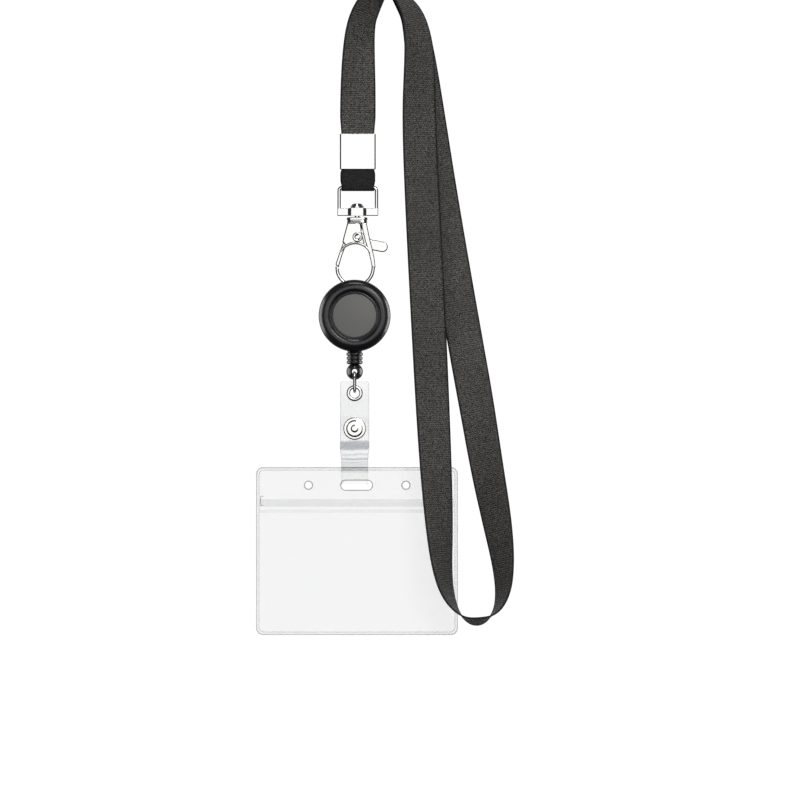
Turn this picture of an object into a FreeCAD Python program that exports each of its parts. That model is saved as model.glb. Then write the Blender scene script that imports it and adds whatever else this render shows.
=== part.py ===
"""Lanyard badge holder: neck ribbon, crimp, swivel hook, cord reel, strap and zip pouch.

Millimetres. +X is to the wearer's left as the badge is seen from the front, +Y goes
away from the front, +Z is up. The origin is the point where the neck loop hangs.
"""
import FreeCAD
import Part

import math
import os
from FreeCAD import Vector

# ---------------------------------------------------------------- neck ribbon
RIBBON_WIDTH = 15.8
RIBBON_THICK = 0.7
CRIMPED_WIDTH = 14.6        # the ribbon is drawn in where the crimp grips it
CRIMPED_LENGTH = 9.0        # how far the first end goes into the crimp
CRIMP_RAMP = 7.0            # over which the ribbon regains its width

# Centre line and twist, chosen by hand: x, y, z, twist in degrees. The ribbon starts
# in the crimp, goes up behind, over the peg, down to the bottom fold, up in front,
# over the peg again and back into the crimp. Twist 0 or 180 faces the front.
ROUTE = [
    (-13.2, -0.05, -71.1, -180),
    (-13.2, 0.0, -63.4, -180),
    (-13.2, 0.7, -54.5, -177),
    (-13.1, 2.1, -42.2, -167),
    (-12.8, 4.0, -28.4, -150),
    (-12.1, 5.6, -17.8, -140),
    (-10.2, 6.8, -9.8, -130),
    (-6.4, 7.8, -3.3, -122),
    (0.0, 8.2, 1.3, -90),
    (6.2, 8.2, -3.3, -64),
    (10.9, 8.0, -9.8, -53),
    (13.3, 7.6, -18.7, -42),
    (14.9, 7.2, -30.2, -32),
    (18.2, 6.6, -54.7, -20),
    (23.8, 5.4, -92.4, -12),
    (33.6, 1.5, -150.2, -6),
    (39.3, -2.5, -182.2, 14),
    (44.2, -7.5, -212.4, 26),
    (48.4, -11.0, -234.7, 38),
    (51.1, -13.5, -252.4, 54),
    (51.3, -15.5, -265.8, 68),
    (48.0, -17.0, -275.1, 86),
    (40.2, -17.5, -279.6, 110),
    (32.2, -17.5, -276.7, 92),
    (26.7, -16.8, -268.0, 72),
    (24.0, -16.0, -256.0, 58),
    (22.7, -15.0, -234.7, 40),
    (20.9, -13.8, -203.6, 26),
    (18.7, -12.2, -159.1, 16),
    (15.6, -10.4, -96.9, 13),
    (13.9, -9.4, -56.9, 20),
    (14.3, -8.8, -30.2, 34),
    (13.3, -8.6, -18.7, 44),
    (10.9, -8.4, -9.8, 54),
    (6.2, -8.2, -3.3, 66),
    (0.0, -8.2, 1.3, 90),
    (-6.4, -8.2, -3.3, 123),
    (-10.2, -7.6, -9.8, 132),
    (-12.2, -6.6, -17.8, 142),
    (-12.9, -5.0, -30.2, 154),
    (-13.1, -2.5, -46.5, 169),
    (-13.2, -0.8, -60.0, 180),
    (-13.2, -0.72, -64.9, 180),
]
ARC_SHARE = 0.45            # of the shorter run that an arc may use
SECTION_STEP = 9.0          # longest stretch between two sections of the band
SECTION_TURN = 12.0         # most that one arc step turns, in degrees

# ---------------------------------------------------------------- crimp and tail
CHAIN_X = -13.2
CRIMP_TOP = -63.1
CRIMP_BOTTOM = -78.8
CRIMP_WIDTH = 16.0
CRIMP_DEPTH = 3.4
CRIMP_WALL = 0.45
CRIMP_SEAM = 0.5
TAIL_WIDTH = 14.5
TAIL_THICK = 0.6
TAIL_LAYER_Y = 0.75         # centre of the tail's two layers inside the crimp
TAIL_TOP = -65.2

# ---------------------------------------------------------------- bail and swivel
BAR_Z = -86.9
BAIL_R = 0.8
BAIL_LEG_X = 8.3
BAIL_CORNER = 1.4
BAIL_FOOT_TOP = -96.1
BAIL_FOOT_BOTTOM = -99.5
BAIL_FOOT_DEPTH = 2.4
BOSS_WIDTH = 8.9
BOSS_DEPTH = 5.0
POST_R = 1.12
POST_HOLE_R = 1.2
POST_HEAD_R = 2.95
POST_HEAD_TOP = -93.9

# ---------------------------------------------------------------- snap hook
HOOK_X = -13.5
COLLAR_R = 4.65
COLLAR_TOP = -100.2
COLLAR_BOTTOM = -102.6
NECK_BOTTOM = -105.0
HOOK_HALF_DEPTH = 1.7
SLOT_HALF = 0.72            # half of the slot that the gate lever turns in
WIRE_R = 0.85
LOOP_X = -14.4
LOOP_Z = -122.6
LOOP_R = 8.0
ARM_R = 29.0                # how the loop's right arm curves up to the body
PIVOT_X = -13.34
PIVOT_Z = -109.0
RIVET_R = 1.1
RIVET_HEAD_R = 2.18
LEVER_HALF = 0.6
SPLIT_GAP = 0.3

# ---------------------------------------------------------------- cord reel
REEL_X = -14.6
REEL_Z = -143.9
REEL_R = 16.0
SEAM_Y = -1.5
CASE_BACK_Y = 3.4
CASE_R = 15.4
CAVITY_R = 14.2
CAVITY_TOP = 10.9           # flat top of the cavity above the reel's centre
CASE_TOP = 12.0             # flat top of the back cover above the reel's centre
FLOOR_FRONT_Y = -2.7
FLOOR_BACK_Y = 2.3
CREST_R = 12.3
CREST_Y = -5.5
RECESS_R = 9.75
RECESS_Y = -4.3
LABEL_R = 9.5
LABEL_THICK = 0.25
EAR_WIDTH = 5.0
AXLE_R = 1.5
EXIT_HOLE_R = 1.1
CORD_R = 0.4

# ---------------------------------------------------------------- belt clip
CLIP_WIDTH = 9.0
CLIP_THICK = 0.7
CLIP_Y = 3.75               # front face of the clip's base plate
CLIP_BEND_Z = 10.5          # above the reel's centre
CLIP_BEND_R = 1.3           # inner radius of the bend
CLIP_RIVET_R = 1.5

# ---------------------------------------------------------------- cord end and link
END_TOP = -160.3
BALL_Z = -168.7
BALL_R = 3.7
BALL_HOLE_R = 1.35
LINK_R = 0.7
LINK_TOP_Z = -169.3
LINK_HALF = 5.6             # half width of the link's triangle at the top
LINK_LOW_Z = -179.8         # where the link's two legs would meet
LINK_CORNER = 1.3
LINK_LOW_CORNER = 2.0

# ---------------------------------------------------------------- strap and snap
STRAP_X = -14.6
STRAP_WIDTH = 13.0
STRAP_LOW_WIDTH = 12.0
STRAP_THICK = 0.5
STRAP_TOP = -172.8
EYELET_Z = -178.3
EYELET_R = 2.25
EYELET_OUT_R = 3.55
SNAP_Z = -194.0
SNAP_R = 5.0
SNAP_LAYER_Y = 1.05         # centre of each strap layer at the snap
FOLD_LAYER_Y = 1.65         # centre of each strap layer beside the pouch
FOLD_Z = -216.9
FLAP_TOP = -188.5

# ---------------------------------------------------------------- pouch
POUCH_X = -13.55
POUCH_WIDTH = 89.8
POUCH_TOP = -211.1
POUCH_BOTTOM = -285.8
POUCH_CORNER = 3.0
SHEET = 0.4
POCKET = 1.0                # room for a card between the sheets
BEAD = 1.2
HOLE_Z = -219.2
HOLE_R = 2.0
HOLE_SPACING = 43.3
SLOT_X = -13.7
SLOT_LENGTH = 14.2
SLOT_HEIGHT = 4.5
ZIP_TOP = -225.2
ZIP_BOTTOM = -228.9
RIDGE_TOP = -230.0
RIDGE_BOTTOM = -231.4
MOUTH_Z = -224.9

NODES = {}


# ---------------------------------------------------------------- helpers
def box(x0, x1, y0, y1, z0, z1):
    """A box between two corners."""
    return Part.makeBox(x1 - x0, y1 - y0, z1 - z0, Vector(x0, y0, z0))


def rod_y(radius, x, z, y0, y1):
    """A cylinder along Y."""
    return Part.makeCylinder(radius, y1 - y0, Vector(x, y0, z), Vector(0, 1, 0))


def rod_z(radius, x, y, z0, z1):
    """A cylinder along Z."""
    return Part.makeCylinder(radius, z1 - z0, Vector(x, y, z0), Vector(0, 0, 1))


def rod_x(radius, y, z, x0, x1):
    """A cylinder along X."""
    return Part.makeCylinder(radius, x1 - x0, Vector(x0, y, z), Vector(1, 0, 0))


def turned_y(profile, x, z):
    """A solid of revolution about a Y axis; the profile is a list of (radius, y)."""
    points = [Vector(x + r, y, z) for r, y in profile]
    face = Part.Face(Part.makePolygon(points + points[:1]))
    return face.revolve(Vector(x, 0, z), Vector(0, 1, 0), 360)


def turned_z(profile, x, y):
    """A solid of revolution about a Z axis; the profile is a list of (radius, z)."""
    points = [Vector(x + r, y, z) for r, z in profile]
    face = Part.Face(Part.makePolygon(points + points[:1]))
    return face.revolve(Vector(x, y, 0), Vector(0, 0, 1), 360)


def plate_xz(outline, y0, y1):
    """A flat plate whose outline is a list of (x, z)."""
    points = [Vector(x, y0, z) for x, z in outline]
    face = Part.Face(Part.makePolygon(points + points[:1]))
    return face.extrude(Vector(0, y1 - y0, 0))


def strip_yz(outline, x0, x1):
    """A strip whose side view is a list of (y, z), from x0 to x1."""
    points = [Vector(x0, y, z) for y, z in outline]
    face = Part.Face(Part.makePolygon(points + points[:1]))
    return face.extrude(Vector(x1 - x0, 0, 0))


def joined(first, *others):
    """One solid from pieces that touch or overlap."""
    return first.fuse(list(others)).removeSplitter()


def corner_arc(before, corner, after, radius):
    """The two tangent points and the middle of an arc that rounds a corner."""
    u = (before - corner).normalize()
    v = (after - corner).normalize()
    half = u.getAngle(v) / 2
    reach = radius / math.tan(half)
    bisector = (u + v).normalize()
    middle = corner + bisector * (radius / math.sin(half) - radius)
    return corner + u * reach, middle, corner + v * reach


def round_bar(points, radius, corner_radii, closed=False):
    """A round bar along straight runs joined by tangent arcs, one radius a point."""
    count = len(points)
    corners = range(count) if closed else range(1, count - 1)
    arcs = {
        i: corner_arc(points[i - 1], points[i], points[(i + 1) % count], corner_radii[i])
        for i in corners
    }
    edges = []
    for i in range(count if closed else count - 1):
        j = (i + 1) % count
        start = arcs[i][2] if i in arcs else points[i]
        end = arcs[j][0] if j in arcs else points[j]
        edges.append(Part.LineSegment(start, end).toShape())
        if j in arcs:
            edges.append(Part.Arc(*arcs[j]).toShape())
    path = Part.Wire(edges)
    start, direction = edges[0].Vertexes[0].Point, edges[0].tangentAt(edges[0].FirstParameter)
    section = Part.Wire(Part.makeCircle(radius, start, direction))
    return path.makePipeShell([section], True, False)


def arc_bar(centre, path_radius, bar_radius, from_deg, to_deg):
    """A round bar along an arc in the XZ plane; angles are counted from +X to +Z."""
    start = Vector(
        centre.x + path_radius * math.cos(math.radians(from_deg)),
        centre.y,
        centre.z + path_radius * math.sin(math.radians(from_deg)),
    )
    tangent = Vector(-math.sin(math.radians(from_deg)), 0, math.cos(math.radians(from_deg)))
    face = Part.Face(Part.Wire(Part.makeCircle(bar_radius, start, tangent)))
    return face.revolve(centre, Vector(0, -1, 0), to_deg - from_deg)


# ---------------------------------------------------------------- neck ribbon
def route_samples():
    """Points along the route's runs and arcs with distance, tangent and twist."""
    points = [Vector(*row[:3]) for row in ROUTE]
    twists = [row[3] for row in ROUTE]
    samples, knots, radii = [], [(0.0, twists[0])], []
    travelled, here = 0.0, points[0]
    samples.append((0.0, points[0], (points[1] - points[0]).normalize()))
    for i in range(1, len(points)):
        arc = None
        if i < len(points) - 1:
            into = (points[i] - points[i - 1]).normalize()
            out = (points[i + 1] - points[i]).normalize()
            turn = into.getAngle(out)
            shorter = min(
                points[i].distanceToPoint(points[i - 1]),
                points[i].distanceToPoint(points[i + 1]),
            )
            radius = ARC_SHARE * shorter / math.tan(turn / 2)
            radii.append(radius)
            arc = corner_arc(points[i - 1], points[i], points[i + 1], radius)
        stop = arc[0] if arc else points[i]
        run = stop.distanceToPoint(here)
        direction = (stop - here).normalize()
        steps = max(1, math.ceil(run / SECTION_STEP))
        for k in range(1, steps + 1):
            samples.append((travelled + run * k / steps, here + direction * (run * k / steps), direction))
        travelled += run
        if not arc:
            knots.append((travelled, twists[i]))
            break
        side = (arc[1] - points[i]).normalize()
        centre = arc[1] + side * radius
        steps = max(2, math.ceil(math.degrees(turn) / SECTION_TURN))
        for k in range(1, steps + 1):
            angle = turn * k / steps
            point = centre + (arc[0] - centre) * math.cos(angle) + into * (radius * math.sin(angle))
            tangent = (into * math.cos(angle) + (centre - arc[0]).normalize() * math.sin(angle))
            samples.append((travelled + radius * angle, point, tangent.normalize()))
        knots.append((travelled + radius * turn / 2, twists[i]))
        travelled += radius * turn
        here = arc[2]
    return samples, knots, radii, travelled


def twist_at(knots, distance):
    """The twist in degrees at a distance along the ribbon."""
    for (s0, a0), (s1, a1) in zip(knots, knots[1:]):
        if distance <= s1:
            return a0 + (a1 - a0) * (distance - s0) / (s1 - s0)
    return knots[-1][1]


def ribbon_width(distance, length):
    """The ribbon's width at a distance, drawn in at both ends by the crimp."""
    free = min(distance - CRIMPED_LENGTH, length - 2.0 - distance) / CRIMP_RAMP
    return CRIMPED_WIDTH + (RIBBON_WIDTH - CRIMPED_WIDTH) * min(1.0, max(0.0, free))


def neck_ribbon():
    """The long ribbon as a closed band of flat triangles between its sections."""
    samples, knots, radii, length = route_samples()
    print("ribbon length %.1f mm, arc radii mm:" % length, [round(r, 1) for r in radii])
    rings = []
    for distance, point, tangent in samples:
        twist = math.radians(twist_at(knots, distance))
        across = Vector(tangent.z, 0, -tangent.x).normalize()
        depth = tangent.cross(across)
        wide = across * math.cos(twist) + depth * math.sin(twist)
        thin = tangent.cross(wide)
        w = wide * (ribbon_width(distance, length) / 2)
        t = thin * (RIBBON_THICK / 2)
        rings.append([point - w - t, point + w - t, point + w + t, point - w + t])
    faces = []

    def add(*corners):
        faces.append(Part.Face(Part.makePolygon(list(corners) + [corners[0]])))

    for low, high in zip(rings, rings[1:]):
        add(low[0], low[1], high[1])
        add(low[0], high[1], high[0])
        add(low[1], low[2], high[2])
        add(low[1], high[2], high[1])
        add(low[2], low[3], high[2])
        add(low[3], high[3], high[2])
        add(low[3], low[0], high[0])
        add(low[3], high[0], high[3])
    for ring in (rings[0], rings[-1]):
        add(ring[0], ring[1], ring[2])
        add(ring[0], ring[2], ring[3])
    band = Part.Solid(Part.Shell(faces))
    if band.Volume < 0:
        band.reverse()
    print("ribbon volume %.0f, section by length %.0f" % (band.Volume, RIBBON_WIDTH * RIBBON_THICK * length))
    return band


def ribbon_tail():
    """The ribbon's fold round the bail bar, both layers going up into the crimp."""
    inner = BAIL_R + 0.1
    outer = inner + TAIL_THICK
    x0, x1 = CHAIN_X - TAIL_WIDTH / 2, CHAIN_X + TAIL_WIDTH / 2
    wrap = rod_x(outer, 0, BAR_Z, x0, x1).cut(rod_x(inner, 0, BAR_Z, x0, x1))
    wrap = wrap.common(box(x0, x1, -outer, outer, BAR_Z - outer, BAR_Z))
    near, far = TAIL_LAYER_Y - TAIL_THICK / 2, TAIL_LAYER_Y + TAIL_THICK / 2
    legs = []
    for side, top in ((-1, TAIL_TOP), (1, TAIL_TOP - 0.6)):
        outline = [
            (side * inner, BAR_Z),
            (side * near, CRIMP_BOTTOM),
            (side * near, top),
            (side * far, top),
            (side * far, CRIMP_BOTTOM),
            (side * outer, BAR_Z),
        ]
        legs.append(strip_yz(outline, x0, x1))
    return joined(wrap, *legs)


def crimp_clamp():
    """The folded metal clamp that grips the ribbon's layers, open along a back seam."""
    half, deep = CRIMP_WIDTH / 2, CRIMP_DEPTH / 2
    shell = box(CHAIN_X - half, CHAIN_X + half, -deep, deep, CRIMP_BOTTOM, CRIMP_TOP)
    upright = [e for e in shell.Edges if abs(e.Vertexes[0].Z - e.Vertexes[1].Z) > 1]
    shell = shell.makeFillet(0.8, upright)
    inner_x, inner_y = half - CRIMP_WALL, deep - CRIMP_WALL
    inside = box(CHAIN_X - inner_x, CHAIN_X + inner_x, -inner_y, inner_y, CRIMP_BOTTOM, CRIMP_TOP)
    seam = box(CHAIN_X - CRIMP_SEAM / 2, CHAIN_X + CRIMP_SEAM / 2, 0, deep, CRIMP_BOTTOM, CRIMP_TOP)
    return shell.cut(inside).cut(seam)


# ---------------------------------------------------------------- bail and swivel
def bail():
    """The rectangular wire bail with its flat foot and swivel boss."""
    legs = [
        Vector(CHAIN_X - BAIL_LEG_X, 0, BAIL_FOOT_BOTTOM + 1.0),
        Vector(CHAIN_X - BAIL_LEG_X, 0, BAR_Z),
        Vector(CHAIN_X + BAIL_LEG_X, 0, BAR_Z),
        Vector(CHAIN_X + BAIL_LEG_X, 0, BAIL_FOOT_BOTTOM + 1.0),
    ]
    wire = round_bar(legs, BAIL_R, [BAIL_CORNER] * 4)
    reach = BAIL_LEG_X + BAIL_R
    half = BAIL_FOOT_DEPTH / 2
    foot = box(CHAIN_X - reach, CHAIN_X + reach, -half, half, BAIL_FOOT_BOTTOM, BAIL_FOOT_TOP)
    foot = foot.makeFillet(0.4, foot.Edges)
    side = BOSS_WIDTH / 2 - BOSS_DEPTH / 2
    pieces = [
        box(HOOK_X - side, HOOK_X + side, -BOSS_DEPTH / 2, BOSS_DEPTH / 2, BAIL_FOOT_BOTTOM, BAIL_FOOT_TOP)
    ]
    for x in (HOOK_X - side, HOOK_X + side):
        pieces.append(rod_z(BOSS_DEPTH / 2, x, 0, BAIL_FOOT_BOTTOM, BAIL_FOOT_TOP))
    body = joined(foot, wire, *pieces)
    return body.cut(rod_z(POST_HOLE_R, HOOK_X, 0, BAIL_FOOT_BOTTOM - 1, BAIL_FOOT_TOP + 1))


def swivel_post():
    """The headed post that joins the hook to the bail and lets it turn."""
    under = BAIL_FOOT_TOP + 0.1
    profile = [
        (0, COLLAR_BOTTOM),
        (POST_R, COLLAR_BOTTOM),
        (POST_R, under),
        (POST_HEAD_R, under),
        (POST_HEAD_R, under + 0.6),
        (POST_HEAD_R * 0.75, POST_HEAD_TOP - 0.35),
        (POST_HEAD_R * 0.35, POST_HEAD_TOP),
        (0, POST_HEAD_TOP),
    ]
    return turned_z(profile, HOOK_X, 0)


# ---------------------------------------------------------------- snap hook
def hook_body():
    """The cast hook: collar, slotted body, right arm, loop and tip."""
    collar = rod_z(COLLAR_R, HOOK_X, 0, COLLAR_BOTTOM, COLLAR_TOP)
    outline = [
        (-17.9, COLLAR_BOTTOM),
        (-19.8, -109.8),
        (-20.1, -111.3),
        (-18.1, -112.6),
        (-16.2, -112.0),
        (-14.0, -111.9),
        (-11.8, -112.2),
        (-10.6, -113.0),
        (-7.7, -109.8),
        (-9.2, COLLAR_BOTTOM),
    ]
    cheeks = plate_xz(outline, -HOOK_HALF_DEPTH, HOOK_HALF_DEPTH)
    cheeks = cheeks.cut(box(-25, 0, -SLOT_HALF, SLOT_HALF, -115, NECK_BOTTOM))
    strip = plate_xz(
        [(-5.6, -119.0), (-7.6, -119.0), (-10.5, -110.0), (-7.7, -109.8)],
        -HOOK_HALF_DEPTH,
        -SLOT_HALF,
    )
    bridge = plate_xz(
        [(-5.7, -119.0), (-7.5, -119.0), (-7.9, -116.6), (-6.0, -116.6)],
        -HOOK_HALF_DEPTH,
        0.0,
    )
    arm_centre = Vector(LOOP_X + LOOP_R - ARM_R, 0, LOOP_Z)
    arm = arc_bar(arm_centre, ARM_R, WIRE_R, 0, 11.8)
    loop = arc_bar(Vector(LOOP_X, 0, LOOP_Z), LOOP_R, WIRE_R, 180, 360)
    tip = rod_z(WIRE_R, LOOP_X - LOOP_R, 0, LOOP_Z, LOOP_Z + 2.0)
    keep = plate_xz(
        [(-24.0, -119.95 - SPLIT_GAP), (-20.0, -123.95 - SPLIT_GAP), (-20.0, -126.0), (-24.0, -126.0)],
        -2,
        2,
    )
    body = joined(collar, cheeks, strip, bridge, arm, loop, tip.common(keep))
    body = body.cut(rod_z(POST_R + 0.02, HOOK_X, 0, COLLAR_BOTTOM, COLLAR_TOP + 1))
    return body.cut(rod_y(RIVET_R + 0.02, PIVOT_X, PIVOT_Z, -3, 3))


def gate_lever():
    """The gate: a lever with the gate arm on one side and the thumb tab on the other."""
    hub = rod_y(2.7, PIVOT_X, PIVOT_Z, -LEVER_HALF, LEVER_HALF)
    arm = plate_xz(
        [
            (-15.5, -107.4),
            (-19.4, -109.7),
            (-21.2, -114.7),
            (-23.1, -120.85),
            (-21.7, -122.25),
            (-20.0, -116.9),
            (-18.2, -112.4),
            (-15.5, -110.6),
        ],
        -LEVER_HALF,
        LEVER_HALF,
    )
    tab = plate_xz(
        [
            (-13.3, -106.4),
            (-10.5, -107.5),
            (-7.2, -110.0),
            (-1.8, -110.95),
            (-2.6, -115.6),
            (-6.5, -114.85),
            (-8.6, -114.2),
            (-11.2, -112.2),
            (-13.3, -111.6),
        ],
        -LEVER_HALF,
        LEVER_HALF,
    )
    end = rod_y(2.36, -2.2, -113.28, -LEVER_HALF, LEVER_HALF)
    lever = joined(hub, arm, tab, end)
    lever = lever.cut(rod_y(RIVET_R + 0.08, PIVOT_X, PIVOT_Z, -1, 1))
    return lever.cut(rod_y(2.2, PIVOT_X, PIVOT_Z, 0.1, 1))


def gate_rivet():
    """The rivet that the gate turns on."""
    face = HOOK_HALF_DEPTH + 0.02
    pin = rod_y(RIVET_R, PIVOT_X, PIVOT_Z, -face, face)
    heads = [
        turned_y([(0, s * face), (RIVET_HEAD_R, s * face), (RIVET_HEAD_R * 0.8, s * (face + 0.5)),
                  (0, s * (face + 0.6))], PIVOT_X, PIVOT_Z)
        for s in (-1, 1)
    ]
    return joined(pin, *heads)


def gate_spring():
    """The small coil that closes the gate, as one ring in the lever's recess."""
    outer = rod_y(2.0, PIVOT_X, PIVOT_Z, 0.15, 0.6)
    return outer.cut(rod_y(1.3, PIVOT_X, PIVOT_Z, 0, 1))


# ---------------------------------------------------------------- cord reel
def front_cover():
    """The domed front shell with its crest, recess and closed top for the hook eye."""
    profile = [(0, SEAM_Y), (REEL_R, SEAM_Y), (REEL_R, SEAM_Y - 0.9)]
    rise = CREST_Y - (SEAM_Y - 0.9)
    for step in range(1, 9):
        angle = math.radians(90 * step / 8)
        profile.append((CREST_R + (REEL_R - CREST_R) * math.cos(angle), SEAM_Y - 0.9 + rise * math.sin(angle)))
    profile += [(CREST_R - 1.0, CREST_Y + 0.15), (RECESS_R + 0.15, RECESS_Y - 0.3)]
    profile += [(RECESS_R, RECESS_Y), (0, RECESS_Y)]
    shell = turned_y(profile, REEL_X, REEL_Z)
    cavity = rod_y(CAVITY_R, REEL_X, REEL_Z, FLOOR_FRONT_Y, SEAM_Y)
    below = box(REEL_X - 20, REEL_X + 20, -9, 0, REEL_Z - 20, REEL_Z + CAVITY_TOP)
    return shell.cut(cavity.common(below))


def back_cover():
    """The back shell with a flat top, the cord exit and the eye for the hook's loop."""
    front = SEAM_Y + 0.05
    case = rod_y(CASE_R, REEL_X, REEL_Z, front, CASE_BACK_Y)
    case = case.common(box(REEL_X - 20, REEL_X + 20, -9, 9, REEL_Z - 20, REEL_Z + CASE_TOP))
    wire_z = LOOP_Z - LOOP_R
    ear_x = (LOOP_X + REEL_X) / 2
    x0, x1 = ear_x - EAR_WIDTH / 2, ear_x + EAR_WIDTH / 2
    ear = box(x0, x1, front, 2.6, REEL_Z + CASE_TOP - 1, wire_z + 2.35)
    channel = box(x0 - 1, x1 + 1, front, 1.25, wire_z - 1.05, wire_z + 1.45)
    case = joined(case, ear).cut(channel)
    cavity = rod_y(CAVITY_R, REEL_X, REEL_Z, front, FLOOR_BACK_Y)
    below = box(REEL_X - 20, REEL_X + 20, -9, 9, REEL_Z - 20, REEL_Z + CAVITY_TOP)
    case = case.cut(cavity.common(below))
    case = case.cut(rod_z(EXIT_HOLE_R, REEL_X, 0, REEL_Z - 17, REEL_Z - 12))
    return case.cut(rod_y(CLIP_RIVET_R + 0.02, REEL_X, REEL_Z, 2, 4))


def label_disc():
    """The round label that lies in the front cover's recess."""
    return rod_y(LABEL_R, REEL_X, REEL_Z, RECESS_Y - LABEL_THICK, RECESS_Y)


def axle_post():
    """The post that the spool turns on."""
    return rod_y(AXLE_R, REEL_X, REEL_Z, FLOOR_FRONT_Y + 0.02, FLOOR_BACK_Y - 0.02)


def spool():
    """The flanged spool: a cup for the power spring and a groove for the cord."""
    profile = [
        (AXLE_R + 0.1, 1.2),
        (AXLE_R + 0.1, 1.8),
        (10.4, 1.8),
        (10.4, 1.2),
        (7.2, 1.2),
        (7.2, -1.2),
        (10.4, -1.2),
        (10.4, -1.8),
        (6.6, -1.8),
        (6.6, 1.2),
    ]
    return turned_y(profile, REEL_X, REEL_Z)


def ring_y(outer, inner, y0, y1):
    """A ring about the reel's axis."""
    return rod_y(outer, REEL_X, REEL_Z, y0, y1).cut(rod_y(inner, REEL_X, REEL_Z, y0 - 1, y1 + 1))


def exit_bush():
    """The metal bush in the cord's exit hole."""
    top, seat, foot = REEL_Z - 14.4, REEL_Z - 15.45, REEL_Z - 15.9
    bush = joined(rod_z(EXIT_HOLE_R - 0.02, REEL_X, 0, seat, top), rod_z(1.4, REEL_X, 0, foot, seat))
    return bush.cut(rod_z(CORD_R + 0.15, REEL_X, 0, foot - 1, top + 1))


def draw_cord():
    """The stretch of cord between the spool and the cord end."""
    return rod_z(CORD_R, REEL_X, 0, END_TOP, REEL_Z - 10.6)


# ---------------------------------------------------------------- belt clip
def clip_base():
    """The clip's base plate on the reel's back and the bend at its top."""
    x0, x1 = REEL_X - CLIP_WIDTH / 2, REEL_X + CLIP_WIDTH / 2
    bend_z = REEL_Z + CLIP_BEND_Z
    plate = box(x0, x1, CLIP_Y, CLIP_Y + CLIP_THICK, REEL_Z - 7, bend_z)
    centre_y = CLIP_Y + CLIP_THICK + CLIP_BEND_R
    outer = CLIP_BEND_R + CLIP_THICK
    bend = rod_x(outer, centre_y, bend_z, x0, x1).cut(rod_x(CLIP_BEND_R, centre_y, bend_z, x0, x1))
    bend = bend.common(box(x0, x1, 0, 20, bend_z, bend_z + outer))
    return joined(plate, bend).cut(rod_y(CLIP_RIVET_R + 0.08, REEL_X, REEL_Z, 3, 6))


def clip_arm():
    """The clip's sprung arm, which comes down close to the plate and flares out."""
    x0, x1 = REEL_X - CLIP_WIDTH / 2, REEL_X + CLIP_WIDTH / 2
    near = CLIP_Y + CLIP_THICK + 2 * CLIP_BEND_R
    touch = CLIP_Y + CLIP_THICK + 0.15
    outline = [
        (near, REEL_Z + CLIP_BEND_Z),
        (near + CLIP_THICK, REEL_Z + CLIP_BEND_Z),
        (touch + CLIP_THICK, REEL_Z - 8.6),
        (touch + 2.3, REEL_Z - 13.6),
        (touch + 1.6, REEL_Z - 13.6),
        (touch, REEL_Z - 8.6),
    ]
    return strip_yz(outline, x0, x1)


def clip_rivet():
    """The rivet that holds the clip to the back cover and lets it swivel."""
    head_y = CLIP_Y + CLIP_THICK + 0.05
    pin = rod_y(CLIP_RIVET_R, REEL_X, REEL_Z, FLOOR_BACK_Y, head_y)
    return joined(pin, rod_y(2.8, REEL_X, REEL_Z, head_y, head_y + 0.45))


# ---------------------------------------------------------------- cord end and link
def cord_end():
    """The ribbed end of the cord with its drilled ball."""
    profile = [
        (0, END_TOP),
        (3.7, END_TOP),
        (3.7, -161.4),
        (3.2, -161.8),
        (3.7, -162.3),
        (2.9, -163.1),
        (3.7, -164.2),
        (2.6, -165.4),
        (2.6, -166.4),
        (0, -166.4),
    ]
    ball = Part.makeSphere(BALL_R, Vector(REEL_X, 0, BALL_Z))
    body = joined(turned_z(profile, REEL_X, 0), ball)
    return body.cut(rod_y(BALL_HOLE_R, REEL_X, BALL_Z, -5, 5))


def link_ring():
    """The bent wire link through the ball and the strap's eyelet."""
    corners = [
        Vector(REEL_X, -LINK_HALF, LINK_TOP_Z),
        Vector(REEL_X, LINK_HALF, LINK_TOP_Z),
        Vector(REEL_X, 0, LINK_LOW_Z),
    ]
    return round_bar(corners, LINK_R, [LINK_CORNER, LINK_CORNER, LINK_LOW_CORNER], closed=True)


# ---------------------------------------------------------------- strap and snap
def layer(stations, x0, x1):
    """A strap layer from (centre y, z) stations, thickened along Y."""
    half = STRAP_THICK / 2
    front = [(y - half, z) for y, z in stations]
    back = [(y + half, z) for y, z in reversed(stations)]
    return strip_yz(front + back, x0, x1)


def narrowed(shape):
    """Cuts a strap layer to the strap's outline as seen from the front."""
    wide, low = STRAP_WIDTH / 2, STRAP_LOW_WIDTH / 2
    outline = [
        (STRAP_X - wide + 1.5, STRAP_TOP),
        (STRAP_X - wide, STRAP_TOP - 1.5),
        (STRAP_X - wide, -203.0),
        (STRAP_X - low, -208.0),
        (STRAP_X - low, FOLD_Z - 4),
        (STRAP_X + low, FOLD_Z - 4),
        (STRAP_X + low, -208.0),
        (STRAP_X + wide, -203.0),
        (STRAP_X + wide, STRAP_TOP - 1.5),
        (STRAP_X + wide - 1.5, STRAP_TOP),
    ]
    return shape.common(plate_xz(outline, -4, 4))


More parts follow.
